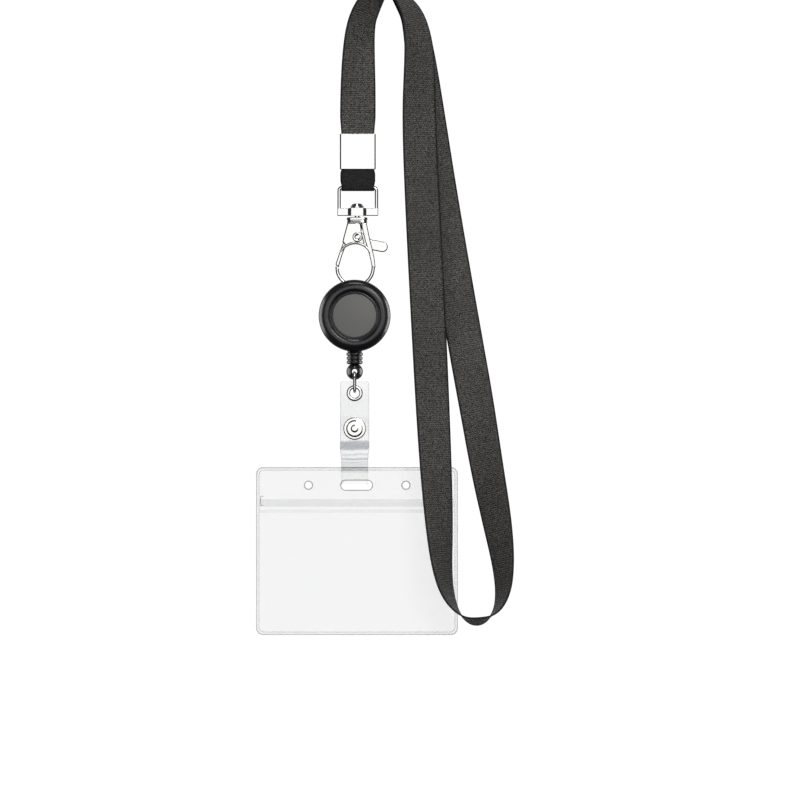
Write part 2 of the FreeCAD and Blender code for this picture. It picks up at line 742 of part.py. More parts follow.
def strap_front():
    """The strap's front layer, from the eyelet down through the slot to the back."""
    x0, x1 = STRAP_X - STRAP_WIDTH / 2, STRAP_X + STRAP_WIDTH / 2
    stations = [
        (0, STRAP_TOP),
        (0, -182.5),
        (-SNAP_LAYER_Y, -188.6),
        (-SNAP_LAYER_Y, -199.4),
        (-FOLD_LAYER_Y, -207.0),
        (-FOLD_LAYER_Y, FOLD_Z),
    ]
    sheet = layer(stations, x0, x1)
    outer, inner = FOLD_LAYER_Y + STRAP_THICK / 2, FOLD_LAYER_Y - STRAP_THICK / 2
    fold = rod_x(outer, 0, FOLD_Z, x0, x1).cut(rod_x(inner, 0, FOLD_Z, x0, x1))
    fold = fold.common(box(x0, x1, -outer, outer, FOLD_Z - outer, FOLD_Z))
    strap = narrowed(joined(sheet, fold))
    strap = strap.cut(rod_y(EYELET_R + 0.35, STRAP_X, EYELET_Z, -3, 3))
    return strap.cut(rod_y(1.2, STRAP_X, SNAP_Z, -3, 0))


def strap_flap():
    """The strap's back layer, from the fold up to the snap."""
    x0, x1 = STRAP_X - STRAP_WIDTH / 2, STRAP_X + STRAP_WIDTH / 2
    stations = [
        (SNAP_LAYER_Y, FLAP_TOP),
        (SNAP_LAYER_Y, -199.4),
        (FOLD_LAYER_Y, -207.0),
        (FOLD_LAYER_Y, FOLD_Z),
    ]
    flap = narrowed(layer(stations, x0, x1))
    return flap.cut(rod_y(1.05, STRAP_X, SNAP_Z, 0, 3))


def strap_eyelet():
    """The metal grommet in the strap's top."""
    half = STRAP_THICK / 2 + 0.05
    profile = [
        (EYELET_R, -half - 0.3),
        (EYELET_OUT_R - 0.4, -half - 0.3),
        (EYELET_OUT_R, -half),
        (EYELET_R + 0.3, -half),
        (EYELET_R + 0.3, half),
        (EYELET_OUT_R, half),
        (EYELET_OUT_R - 0.4, half + 0.3),
        (EYELET_R, half + 0.3),
    ]
    return turned_y(profile, STRAP_X, EYELET_Z)


def snap_cap():
    """The snap's ringed cap on the strap's front, with its hollow pin."""
    face = -SNAP_LAYER_Y - STRAP_THICK / 2
    profile = [
        (0.7, face + STRAP_THICK),
        (1.15, face + STRAP_THICK),
        (1.15, face),
        (SNAP_R, face),
        (SNAP_R, face - 0.3),
        (4.2, face - 0.8),
        (3.6, face - 0.8),
        (3.3, face - 0.4),
        (2.2, face - 0.4),
        (1.8, face - 0.9),
        (0.9, face - 0.9),
        (0.7, face - 0.5),
    ]
    return turned_y(profile, STRAP_X, SNAP_Z)


def snap_socket():
    """The snap's sprung socket between the strap's layers."""
    face = -SNAP_LAYER_Y + STRAP_THICK / 2
    profile = [(1.95, face), (4.3, face), (4.3, face + 0.8), (3.6, face + 1.1), (1.95, face + 1.1)]
    return turned_y(profile, STRAP_X, SNAP_Z)


def snap_stud():
    """The snap's stud on the flap, which enters the socket."""
    face = SNAP_LAYER_Y - STRAP_THICK / 2
    profile = [(0, face), (4.0, face), (4.0, face - 0.35), (1.75, face - 0.45), (1.75, face - 1.2), (0, face - 1.3)]
    return turned_y(profile, STRAP_X, SNAP_Z)


def snap_post():
    """The snap's back cap, whose pin goes through the flap to the stud."""
    face = SNAP_LAYER_Y + STRAP_THICK / 2
    profile = [
        (0, face - STRAP_THICK),
        (1.0, face - STRAP_THICK),
        (1.0, face),
        (4.5, face),
        (4.5, face + 0.25),
        (3.4, face + 0.6),
        (0, face + 0.7),
    ]
    return turned_y(profile, STRAP_X, SNAP_Z)


# ---------------------------------------------------------------- pouch
def pouch_outline(inset, y0, y1, top=POUCH_TOP, bottom=POUCH_BOTTOM):
    """A plate of the pouch's outline, drawn in by inset, with rounded corners."""
    half = POUCH_WIDTH / 2 - inset
    plate = box(POUCH_X - half, POUCH_X + half, y0, y1, POUCH_BOTTOM + inset, POUCH_TOP - inset)
    corners = [e for e in plate.Edges if abs(e.Vertexes[0].Y - e.Vertexes[1].Y) > 0.01]
    plate = plate.makeFillet(max(0.5, POUCH_CORNER - inset), corners)
    return plate.common(box(POUCH_X - 60, POUCH_X + 60, y0, y1, bottom, top))


def header_holes():
    """The strap's slot and the two round holes, as one cutter."""
    half = SLOT_LENGTH / 2 - SLOT_HEIGHT / 2
    y0, y1 = -3, 3
    cutters = [box(SLOT_X - half, SLOT_X + half, y0, y1, HOLE_Z - SLOT_HEIGHT / 2, HOLE_Z + SLOT_HEIGHT / 2)]
    for x in (SLOT_X - half, SLOT_X + half):
        cutters.append(rod_y(SLOT_HEIGHT / 2, x, HOLE_Z, y0, y1))
    centre = POUCH_X + 0.1
    for x in (centre - HOLE_SPACING / 2, centre + HOLE_SPACING / 2):
        cutters.append(rod_y(HOLE_R, x, HOLE_Z, y0, y1))
    return cutters[0].fuse(cutters[1:])


def pouch_back():
    """The pouch's back sheet, which runs the whole height."""
    return pouch_outline(0, 0, SHEET).cut(header_holes())


def pouch_header():
    """The front layer of the header, welded to the back sheet."""
    return pouch_outline(0, -SHEET, 0, bottom=MOUTH_Z).cut(header_holes())


def pouch_front():
    """The pouch's front sheet, which stands off the back by the card's pocket."""
    return pouch_outline(0, -POCKET - SHEET, -POCKET, top=MOUTH_Z - 0.15)


def weld_bead():
    """The welded bead round the pouch, thin on the header and deep at the pocket."""
    ring = pouch_outline(0, -POCKET, 0).cut(pouch_outline(BEAD, -POCKET, 0))
    low = ring.common(box(-80, 60, -POCKET, 0, POUCH_BOTTOM, MOUTH_Z - 0.15))
    top = pouch_outline(0, -SHEET - 0.2, -SHEET, bottom=MOUTH_Z)
    top = top.cut(pouch_outline(BEAD, -SHEET - 0.2, -SHEET))
    return low, top


def zip_track():
    """The zip's grooved half on the back sheet."""
    half = POUCH_WIDTH / 2 - BEAD - 0.5
    middle = (ZIP_TOP + ZIP_BOTTOM) / 2
    track = box(POUCH_X - half, POUCH_X + half, -0.55, 0, ZIP_BOTTOM, ZIP_TOP)
    return track.cut(box(POUCH_X - half, POUCH_X + half, -0.55, -0.15, middle - 0.5, middle + 0.5))


def zip_rib():
    """The zip's ribbed half on the front sheet, pressed into the groove."""
    half = POUCH_WIDTH / 2 - BEAD - 0.5
    middle = (ZIP_TOP + ZIP_BOTTOM) / 2
    rib = box(POUCH_X - half, POUCH_X + half, -0.6, -0.2, middle - 0.4, middle + 0.4)
    base = box(POUCH_X - half, POUCH_X + half, -POCKET, -0.6, ZIP_BOTTOM, ZIP_TOP)
    return joined(base, rib)


def lip_ridge():
    """The raised weld line below the zip."""
    half = POUCH_WIDTH / 2 - BEAD - 0.5
    face = -POCKET - SHEET
    return box(POUCH_X - half, POUCH_X + half, face - 0.3, face, RIDGE_BOTTOM, RIDGE_TOP)


# ---------------------------------------------------------------- all nodes
def build():
    """Every node of the lanyard by name."""
    bead_low, bead_top = weld_bead()
    return {
        "neck_ribbon": neck_ribbon(),
        "ribbon_tail": ribbon_tail(),
        "crimp_clamp": crimp_clamp(),
        "bail": bail(),
        "swivel_post": swivel_post(),
        "hook_body": hook_body(),
        "gate_lever": gate_lever(),
        "gate_rivet": gate_rivet(),
        "gate_spring": gate_spring(),
        "reel_front_cover": front_cover(),
        "reel_back_cover": back_cover(),
        "label_disc": label_disc(),
        "axle_post": axle_post(),
        "power_spring": ring_y(6.2, AXLE_R + 0.03, -1.1, 1.1),
        "spool": spool(),
        "wound_cord": ring_y(10.0, 7.25, -1.15, 1.15),
        "exit_bush": exit_bush(),
        "draw_cord": draw_cord(),
        "clip_base": clip_base(),
        "clip_arm": clip_arm(),
        "clip_rivet": clip_rivet(),
        "cord_end": cord_end(),
        "link_ring": link_ring(),
        "strap_front": strap_front(),
        "strap_eyelet": strap_eyelet(),
        "snap_cap": snap_cap(),
        "snap_socket": snap_socket(),
        "strap_flap": strap_flap(),
        "snap_stud": snap_stud(),
        "snap_post": snap_post(),
        "pouch_back": pouch_back(),
        "pouch_header": pouch_header(),
        "pouch_front": pouch_front(),
        "weld_bead": bead_low,
        "header_bead": bead_top,
        "zip_track": zip_track(),
        "zip_rib": zip_rib(),
        "lip_ridge": lip_ridge(),
    }


def main():
    """Builds each node and writes it as its own STEP file."""
    os.makedirs("parts", exist_ok=True)
    for name, shape in build().items():
        if not shape.isValid() or not shape.Solids:
            print("BAD SHAPE", name)
        shape.exportStep("parts/%s.step" % name)
        print("%-18s %9.1f mm3 %d solid" % (name, shape.Volume, len(shape.Solids)))


main()
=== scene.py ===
"""A hanging lanyard with a swivel hook, a cord reel, a snap strap and a zip-top badge pouch.

Everything is in the part's own frame, in metres. Sizes in the classes are in millimetres, and the
ribbon's route is in metres.
"""
import logging
import math
from dataclasses import dataclass, field
from enum import Enum
from itertools import accumulate
from typing import Any, Callable, Iterable, Sequence

import bmesh
import bpy
from mathutils import Matrix, Vector


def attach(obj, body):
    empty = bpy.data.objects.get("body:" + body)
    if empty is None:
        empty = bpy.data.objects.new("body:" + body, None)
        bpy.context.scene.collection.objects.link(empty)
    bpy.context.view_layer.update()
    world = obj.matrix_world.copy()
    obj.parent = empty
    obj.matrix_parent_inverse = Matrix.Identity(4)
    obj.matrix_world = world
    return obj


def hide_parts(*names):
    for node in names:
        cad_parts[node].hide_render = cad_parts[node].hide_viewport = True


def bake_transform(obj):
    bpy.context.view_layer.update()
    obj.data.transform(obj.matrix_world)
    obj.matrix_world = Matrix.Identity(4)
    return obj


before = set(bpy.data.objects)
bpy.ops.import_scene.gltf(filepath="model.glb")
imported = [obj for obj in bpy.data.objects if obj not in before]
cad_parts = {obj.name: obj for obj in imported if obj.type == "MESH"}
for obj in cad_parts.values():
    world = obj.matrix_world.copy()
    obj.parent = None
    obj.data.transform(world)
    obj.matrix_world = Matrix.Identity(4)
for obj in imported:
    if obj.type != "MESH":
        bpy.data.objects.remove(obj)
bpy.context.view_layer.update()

LOG = logging.getLogger("lanyard")
MM = 0.001
Point = tuple[float, float, float]
Pair = tuple[float, float]


def mm(x: float, y: float, z: float) -> Vector:
    """A point given in millimetres, in metres."""
    return Vector((x, y, z)) * MM


class Body(Enum):
    """The moving bodies that pieces ride on."""

    RIBBON = "ribbon"
    BAIL = "bail"
    HOOK = "hook"
    GATE = "gate"
    REEL = "reel"
    SPOOL = "spool"
    CLIP = "belt_clip"
    CLIP_ARM = "clip_arm"
    CORD_END = "cord_end"
    LINK = "link"
    STRAP = "strap"
    FLAP = "flap"
    POUCH = "pouch"


# ------------------------------------------------------------------ finishes
class Graph:
    """A material's node tree round one Principled shader."""

    def __init__(self, name: str) -> None:
        """Starts a new material with its shader.

        Args:
            name: the material's name.
        """
        self.material = bpy.data.materials.new(name)
        self.material.use_nodes = True
        self.tree = self.material.node_tree
        self.shader = self.tree.nodes["Principled BSDF"]

    def add(self, kind: str, inputs: dict[Any, Any] | None = None, **settings: Any) -> Any:
        """Adds a node.

        Args:
            kind: the node's type name without its ShaderNode prefix.
            inputs: socket name or index to a value or to another node's output.
            settings: attributes set on the node.

        Returns:
            The new node.
        """
        node = self.tree.nodes.new("ShaderNode" + kind)
        for key, value in settings.items():
            setattr(node, key, value)
        for key, value in (inputs or {}).items():
            self.feed(node, key, value)
        return node

    def feed(self, node: Any, key: Any, value: Any) -> None:
        """Sets a socket to a value, or links an output to it.

        Args:
            node: the node.
            key: the socket's name or index.
            value: the value, or another node's output.
        """
        if isinstance(value, bpy.types.NodeSocket):
            self.tree.links.new(value, node.inputs[key])
        else:
            node.inputs[key].default_value = value

    def math(self, operation: str, a: Any, b: Any = 0.0, c: Any = 0.0) -> Any:
        """A math node's output."""
        return self.add("Math", {0: a, 1: b, 2: c}, operation=operation).outputs[0]

    def noise(self, scale: float, detail: float = 3.0, vector: Any = None) -> Any:
        """A noise texture's factor on Object coordinates or on the given vector.

        Args:
            scale: its scale.
            detail: its detail.
            vector: the place it reads, or None for Object coordinates.

        Returns:
            The noise's output.
        """
        place = vector or self.add("TexCoord").outputs["Object"]
        made = self.add("TexNoise", {"Vector": place, "Scale": scale, "Detail": detail})
        return made.outputs["Fac"]

    def span(self, value: Any, low: float, high: float) -> Any:
        """Maps 0 to 1 onto low to high."""
        inputs = {"Value": value, "To Min": low, "To Max": high}
        return self.add("MapRange", inputs).outputs["Result"]

    def ramp(self, value: Any, start: float, stop: float, low: float = 0.0, high: float = 1.0) -> Any:
        """Maps start to stop onto low to high, held at both ends."""
        inputs = {"Value": value, "From Min": start, "From Max": stop, "To Min": low, "To Max": high}
        return self.add("MapRange", inputs).outputs["Result"]

    def blend(self, amount: Any, a: Sequence[float], b: Sequence[float]) -> Any:
        """A colour between a and b.

        Args:
            amount: 0 for a and 1 for b.
            a: one colour, or an output.
            b: the other.

        Returns:
            The colour output.
        """
        node = self.add("Mix", data_type="RGBA")
        self.feed(node, 0, amount)
        self.feed(node, 6, a if isinstance(a, bpy.types.NodeSocket) else (*a, 1.0))
        self.feed(node, 7, b if isinstance(b, bpy.types.NodeSocket) else (*b, 1.0))
        return node.outputs[2]

    def bump(self, height: Any, strength: float, distance: float) -> None:
        """Puts a bump on the shader."""
        inputs = {"Height": height, "Strength": strength, "Distance": distance}
        self.feed(self.shader, "Normal", self.add("Bump", inputs).outputs[0])

    def set(self, **values: Any) -> None:
        """Sets the shader's sockets; underscores stand for spaces."""
        for key, value in values.items():
            self.feed(self.shader, key.replace("_", " "), value)


@dataclass(frozen=True)
class RibbonWeave:
    """Woven polyester with cross ribs and flat selvages, its edges darkened as painted shade and slow patches
    of painted sheen; it reads the map called weave.
    """

    slot: str = "ribbon_grey"
    name: str = "ribbon_weave"
    dark: tuple[float, float, float] = (0.016, 0.015, 0.014)
    light: tuple[float, float, float] = (0.34, 0.328, 0.303)
    rib_pitch: float = 0.95 * MM
    yarn_pitch: float = 0.42 * MM
    slant_pitch: float = 1.37 * MM
    half_width: float = 7.9 * MM

    def make(self) -> bpy.types.Material:
        """Builds the material.

        Returns:
            The material.
        """
        g = Graph(self.name)
        place = g.add("UVMap", uv_map="weave").outputs[0]
        parts = g.add("SeparateXYZ", {0: place})
        along, across = parts.outputs[0], parts.outputs[1]
        waver = g.math("MULTIPLY", g.noise(260.0, 2.0), 0.9)
        rib_phase = g.math("MULTIPLY_ADD", along, math.tau / self.rib_pitch, waver)
        rib = g.span(g.math("SINE", rib_phase), 0.0, 0.5)
        yarn_phase = g.math("MULTIPLY", across, math.tau / self.yarn_pitch)
        yarn = g.span(g.math("SINE", yarn_phase), 0.0, 0.5)
        edge = g.math("ABSOLUTE", across)
        # the selvage band at each edge: the ribs flatten there, and the darkening below is painted shade
        selvage_and_shade_edge = g.ramp(edge, self.half_width - 0.85 * MM, self.half_width - 0.45 * MM)
        field_rib = g.math("MULTIPLY", rib, g.math("SUBTRACT", 1.0, g.math("MULTIPLY", selvage_and_shade_edge, 0.8)))
        height = g.math("ADD", field_rib, g.math("MULTIPLY", yarn, 0.35))
        fuzz = g.noise(1700.0, 3.0)
        painted_sheen_cloud = g.noise(24.0, 2.0)
        diagonal = g.math("MULTIPLY_ADD", across, 1.2, along)
        slant_phase = g.math("MULTIPLY", diagonal, math.tau / self.slant_pitch)
        broken_phase = g.math("MULTIPLY_ADD", g.noise(700.0, 2.0), 5.0, slant_phase)
        slant = g.span(g.math("SINE", broken_phase), -0.1, 0.25)
        grain = g.math("ADD", g.math("MULTIPLY_ADD", fuzz, 2.3, -0.88), slant)
        level = g.math("MULTIPLY_ADD", field_rib, 0.5, g.math("MULTIPLY", grain, 0.66))
        # painted sheen: slow random patches make the cloth lighter and darker, standing in for uneven sheen
        level = g.math("MULTIPLY", level, g.span(painted_sheen_cloud, 0.5, 1.5))
        cloth = g.blend(level, self.dark, self.light)
        # painted shade: the edges are blended towards the dark colour, standing in for the shadow between the
        # strands
        painted_edge_shade = g.math("MULTIPLY", selvage_and_shade_edge, 0.8)
        g.set(Base_Color=g.blend(painted_edge_shade, cloth, self.dark), Roughness=0.72)
        g.set(Sheen_Weight=0.12, Sheen_Roughness=0.35, Sheen_Tint=(0.8, 0.87, 1.0, 1.0))
        g.set(Specular_IOR_Level=0.35)
        g.bump(g.math("ADD", height, g.math("MULTIPLY", fuzz, 0.25)), 0.55, 0.16 * MM)
        return g.material


@dataclass(frozen=True)
class PlatedMetal:
    """Bright nickel plate with faint polishing marks."""

    slot: str = "nickel"
    name: str = "nickel_plate"
    tint: tuple[float, float, float] = (0.83, 0.83, 0.81)
    smooth: float = 0.10
    rough: float = 0.20
    grain: float = 900.0

    def make(self) -> bpy.types.Material:
        """Builds the material.

        Returns:
            The material.
        """
        g = Graph(self.name)
        wear = g.noise(self.grain, 4.0)
        fine = g.noise(self.grain * 4, 2.0)
        shade = tuple(c * 0.86 for c in self.tint)
        g.set(Base_Color=g.blend(wear, shade, self.tint), Metallic=1.0)
        marks = g.math("ADD", g.math("MULTIPLY", wear, 0.6), g.math("MULTIPLY", fine, 0.4))
        g.set(Roughness=g.span(marks, self.smooth, self.rough))
        g.bump(fine, 0.05, 0.02 * MM)
        return g.material


@dataclass(frozen=True)
class MouldedPlastic:
    """Injection-moulded plastic, glossy or matt by its roughness."""

    slot: str
    name: str
    colour: tuple[float, float, float]
    smooth: float
    rough: float
    coat: float = 0.0
    grain: float = 1400.0
    depth: float = 0.015

    def make(self) -> bpy.types.Material:
        """Builds the material.

        Returns:
            The material.
        """
        g = Graph(self.name)
        flow = g.noise(60.0, 3.0)
        fine = g.noise(self.grain, 3.0)
        lighter = tuple(min(1.0, c * 1.25 + 0.002) for c in self.colour)
        g.set(Base_Color=g.blend(flow, self.colour, lighter), Roughness=g.span(fine, self.smooth, self.rough))
        g.set(Coat_Weight=self.coat, Coat_Roughness=0.08, Specular_IOR_Level=0.5)
        g.bump(fine, 0.08, self.depth * MM)
        return g.material


@dataclass(frozen=True)
class ClearVinyl:
    """Flexible clear vinyl with a soft surface ripple."""

    slot: str
    name: str
    tint: tuple[float, float, float]
    shade: tuple[float, float, float]
    cover: float
    ripple: float = 0.2
    patches: float = 55.0

    def make(self) -> bpy.types.Material:
        """Builds the material.

        Returns:
            The material.
        """
        g = Graph(self.name)
        slow = g.noise(self.patches, 2.0)
        fine = g.noise(700.0, 2.0)
        g.set(Base_Color=g.blend(slow, self.shade, self.tint), Alpha=self.cover, Specular_IOR_Level=0.5)
        g.set(Roughness=g.span(fine, 0.10, 0.24), Coat_Weight=0.25, Coat_Roughness=0.06)
        g.bump(g.math("ADD", slow, g.math("MULTIPLY", fine, 0.06)), self.ripple, 0.5 * MM)
        return g.material


@dataclass(frozen=True)
class StrapVinyl:
    """Clear strap vinyl with painted reflections: darker blue-grey bands across its bends and a faint wide
    band higher up, painted shade along its edges, and clearer at its lower end.

    Each entry of bends is a painted reflection band: a height and a half height, both in millimetres, and an
    amount.
    """

    slot: str = "frosted_vinyl"
    name: str = "strap_vinyl"
    strength: float = 1.0
    tint: tuple[float, float, float] = (0.93, 0.955, 0.975)
    # bend: the blue-grey colour of the painted reflection bands and of the painted edge shade
    bend: tuple[float, float, float] = (0.56, 0.61, 0.66)
    half_width: float = 6.5 * MM
    # painted reflection bands at the bends; the last, wide one is faint painted shade over the upper strap
    bends: tuple[tuple[float, float, float], ...] = (
        (-201.5, 2.0, 0.92),
        (-205.6, 0.4, 0.35),
        (-207.6, 0.4, 0.7),
        (-208.9, 0.15, 0.6),
        (-210.6, 1.8, 0.36),
        (-187.0, 9.0, 0.16),
    )
    cover: float = 0.13
    # how much the painted reflection bands and the painted edge shade cover
    reflection_cover: float = 0.36
    rim_shade: float = 0.45
    clear_below: float = -213.4

    def make(self) -> bpy.types.Material:
        """Builds the material.

        Returns:
            The material.
        """
        g = Graph(self.name)
        place = g.add("TexCoord").outputs["Object"]
        height = g.add("SeparateXYZ", {0: place}).outputs[2]
        waver = g.math("MULTIPLY_ADD", g.noise(150.0, 2.0), 1.6 * MM, -0.8 * MM)
        level = g.math("ADD", height, waver)
        # painted reflections: dark bands at the bends, where the bent vinyl reflects its dark surroundings
        total: Any = 0.0
        for middle, half, amount in self.bends:
            away = g.math("ABSOLUTE", g.math("SUBTRACT", level, middle * MM))
            fade = g.ramp(away, half * 0.7 * MM, (half * 1.2 + 0.15) * MM, amount, 0.0)
            total = g.math("MAXIMUM", total, fade)
        across = g.add("SeparateXYZ", {0: g.add("UVMap", uv_map="weave").outputs[0]}).outputs[1]
        side = g.math("ABSOLUTE", across)
        # painted shade along the strap's edges
        rim = g.ramp(side, self.half_width - 0.55 * MM, self.half_width - 0.3 * MM, 0.0, self.rim_shade)
        total = g.math("MAXIMUM", total, rim)
        upper = g.ramp(height, (self.clear_below - 0.3) * MM, self.clear_below * MM)
        cover = g.math("MULTIPLY_ADD", total, self.reflection_cover * self.strength, self.cover * self.strength)
        alpha = g.math("MULTIPLY", cover, g.span(upper, 0.3, 1.0))
        g.set(Base_Color=g.blend(total, self.tint, self.bend), Alpha=alpha)
        g.set(Roughness=g.span(g.noise(700.0, 2.0), 0.12, 0.26), Coat_Weight=0.2, Coat_Roughness=0.08)
        g.bump(g.noise(160.0, 2.0), 0.25, 0.4 * MM)
        return g.material


@dataclass(frozen=True)
class BraidedCord:
    """Fine black braid with a diagonal pattern on Object coordinates."""

    slot: str = "black_cord"
    name: str = "cord_braid"
    dark: tuple[float, float, float] = (0.008, 0.008, 0.009)
    light: tuple[float, float, float] = (0.03, 0.03, 0.032)

    def make(self) -> bpy.types.Material:
        """Builds the material.

        Returns:
            The material.
        """
        g = Graph(self.name)
        place = g.add("TexCoord").outputs["Object"]
        inputs = {"Vector": place, "Scale": 420.0, "Distortion": 1.5}
        strands = g.add("TexWave", inputs, bands_direction="DIAGONAL").outputs["Fac"]
        g.set(Base_Color=g.blend(strands, self.dark, self.light), Roughness=0.6)
        g.bump(strands, 0.5, 0.06 * MM)
        return g.material


@dataclass(frozen=True)
class StudioWhite:
    """The backdrop's plain white."""

    def make(self) -> bpy.types.Material:
        """Builds the material.

        Returns:
            The material.
        """
        g = Graph("studio_white")
        g.set(Base_Color=(0.8, 0.8, 0.8, 1.0), Roughness=0.9)
        g.set(Emission_Color=(1, 1, 1, 1), Emission_Strength=1.0)
        return g.material


class Finishes:
    """Every finish, built once."""

    def __init__(self) -> None:
        """Builds the materials."""
        self.slots: dict[str, str] = {}
        self.weave = self.built(RibbonWeave())
        # a darker copy of the weave for the fold: painted shade, as the fold sits in shadow
        fold = RibbonWeave(name="ribbon_weave_painted_shade", dark=(0.005, 0.005, 0.005), light=(0.05, 0.049, 0.048))
        self.fold = self.built(fold)
        self.nickel = self.built(PlatedMetal())
        cast = PlatedMetal("hook_nickel", "cast_nickel", (0.80, 0.80, 0.78), 0.12, 0.24, 420.0)
        self.cast = self.built(cast)
        steel = PlatedMetal("spring_steel", "drawn_steel", (0.42, 0.42, 0.42), 0.25, 0.4, 1200.0)
        self.steel = self.built(steel)
        clip = PlatedMetal("clip_steel", "rolled_steel", (0.62, 0.62, 0.61), 0.2, 0.34, 700.0)
        self.clip = self.built(clip)
        black = MouldedPlastic("black_abs", "gloss_black", (0.0065, 0.0065, 0.0085), 0.24, 0.34, 0.15)
        self.black = self.built(black)
        label = MouldedPlastic("grey_label", "label_grey", (0.185, 0.183, 0.172), 0.42, 0.6, 0.0, 2600.0)
        self.label = self.built(label)
        acetal = MouldedPlastic("white_acetal", "white_plastic", (0.72, 0.72, 0.70), 0.35, 0.5)
        self.acetal = self.built(acetal)
        self.cord = self.built(BraidedCord())
        clear, shaded = (0.97, 0.975, 0.98), (0.88, 0.89, 0.90)
        self.sheet = self.vinyl("pouch_vinyl", clear, (0.92, 0.93, 0.94), 0.07, 0.12)
        self.bead = self.vinyl("welded_vinyl", (0.72, 0.735, 0.74), (0.66, 0.67, 0.68), 0.3, 0.02, 90.0)
        self.rim = self.vinyl("rim_vinyl", (0.52, 0.53, 0.54), (0.46, 0.47, 0.48), 0.55, 0.02, 90.0)
        self.track = self.vinyl("zip_vinyl", clear, shaded, 0.085, 0.2, 300.0)
        self.rail = self.vinyl("rail_vinyl", clear, shaded, 0.04, 0.1, 300.0)
        self.mark = self.vinyl("weld_mark", (0.42, 0.43, 0.43), (0.32, 0.33, 0.33), 0.75, 0.1, 400.0)
        # the strap vinyls carry painted reflection bands and painted edge shade
        self.strap = self.built(StrapVinyl())
        self.strap_back = self.built(StrapVinyl(name="strap_vinyl_back", strength=0.25))

    def vinyl(self, name: str, *values: Any) -> bpy.types.Material:
        """Builds one of the pouch's clear vinyls from ClearVinyl's other values."""
        return self.built(ClearVinyl("clear_vinyl", name, *values))

    def built(self, finish: Any) -> bpy.types.Material:
        """Builds one finish and remembers its slot.

        Args:
            finish: the finish.

        Returns:
            The material.
        """
        material = finish.make()
        self.slots[material.name] = finish.slot
        return material


# ------------------------------------------------------------------ making pieces
def outward(bm: bmesh.types.BMesh) -> None:
    """Merges doubles and turns every face outwards."""
    bmesh.ops.remove_doubles(bm, verts=bm.verts, dist=0.002 * MM)
    bmesh.ops.recalc_face_normals(bm, faces=bm.faces)


def push(bm: bmesh.types.BMesh, faces: Sequence[bmesh.types.BMFace], along: Vector) -> None:
    """Extrudes flat faces into a solid.

    Args:
        bm: the mesh that holds them.
        faces: the faces.
        along: how far they are drawn out, in metres.
    """
    made = bmesh.ops.extrude_face_region(bm, geom=list(faces))
    moved = [g for g in made["geom"] if isinstance(g, bmesh.types.BMVert)]
    bmesh.ops.translate(bm, verts=moved, vec=along)


def round_edges(
    bm: bmesh.types.BMesh, edges: Sequence[bmesh.types.BMEdge], offset: float, steps: int
) -> None:
    """Rounds edges.

    Args:
        bm: the mesh that holds them.
        edges: the edges.
        offset: how far they are rounded, in millimetres.
        steps: steps in the rounding.
    """
    bmesh.ops.bevel(
        bm, geom=list(edges), offset=offset * MM, affect="EDGES", segments=steps, profile=0.5, material=-1
    )


def piece(
    name: str,
    source: bmesh.types.BMesh | bpy.types.Mesh,
    body: Body | None,
    material: bpy.types.Material,
    finishes: Finishes,
    replaces: Iterable[str] = (),
    crease: float = 34.0,
) -> bpy.types.Object:
    """Makes a finished object that rides on a body.

    Args:
        name: the object's name.
        source: its shape, in place in the part's frame.
        body: the body that it moves with, or None to leave it on no body.
        material: its finish.
        finishes: the finishes, which know each material's slot; not used here.
        replaces: the CAD nodes that it stands for.
        crease: the angle in degrees past which an edge is sharp.

    Returns:
        The object.
    """
    if isinstance(source, bmesh.types.BMesh):
        mesh = bpy.data.meshes.new(name)
        source.to_mesh(mesh)
        source.free()
    else:
        mesh = source
        mesh.name = name
    mesh.materials.clear()
    mesh.materials.append(material)
    mesh.shade_smooth()
    mesh.set_sharp_from_angle(angle=math.radians(crease))
    obj = bpy.data.objects.new(name, mesh)
    bpy.context.scene.collection.objects.link(obj)
    if body:
        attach(obj, body.value)
    nodes = tuple(replaces)
    if nodes:
        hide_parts(*nodes)
    LOG.info("%s: %d faces on %s", name, len(mesh.polygons), body.value if body else "two bodies")
    return obj


def turned(profile: Sequence[Pair], centre: Vector, axis: Vector, steps: int = 96) -> bmesh.types.BMesh:
    """A shape of revolution.

    Args:
        profile: a closed outline of (radius, height) in millimetres; height is along the axis.
        centre: a point on the axis, in metres.
        axis: the axis, a unit vector along Y or Z.
        steps: sections round the axis.

    Returns:
        The closed shape.
    """
    bm = bmesh.new()
    side = Vector((1, 0, 0))
    verts = [bm.verts.new(centre + side * (r * MM) + axis * (h * MM)) for r, h in profile]
    edges = [bm.edges.new((a, b)) for a, b in zip(verts, verts[1:] + verts[:1])]
    bmesh.ops.spin(
        bm, geom=verts + edges, cent=centre, axis=axis, angle=math.tau, steps=steps, use_merge=True
    )
    outward(bm)
    return bm


class Rim(Enum):
    """Which face of a plate has its edges rounded."""

    BOTH = 0
    FRONT = -1
    BACK = 1


def plate(
    outline: Sequence[Pair], y0: float, y1: float, bevel: float, segments: int = 2, rim: Rim = Rim.BOTH
) -> bmesh.types.BMesh:
    """A plate with rounded edges.

    Args:
        outline: its outline of (x, z) in millimetres.
        y0: its front in millimetres.
        y1: its back in millimetres.
        bevel: how far its edges are rounded, in millimetres.
        segments: steps in the rounding.
        rim: the face whose edges are rounded.

    Returns:
        The closed shape.
    """
    bm = bmesh.new()
    face = bm.faces.new([bm.verts.new(mm(x, y0, z)) for x, z in outline])
    push(bm, [face], mm(0, y1 - y0, 0))
    bmesh.ops.recalc_face_normals(bm, faces=bm.faces)
    if bevel:
        rims = [e for e in bm.edges if abs(e.verts[0].co.y - e.verts[1].co.y) < 1e-9]
        middle = (y0 + y1) / 2 * MM
        if rim is not Rim.BOTH:
            rims = [e for e in rims if (e.verts[0].co.y - middle) * rim.value > 0]
        round_edges(bm, rims, bevel, segments)
    outward(bm)
    return bm


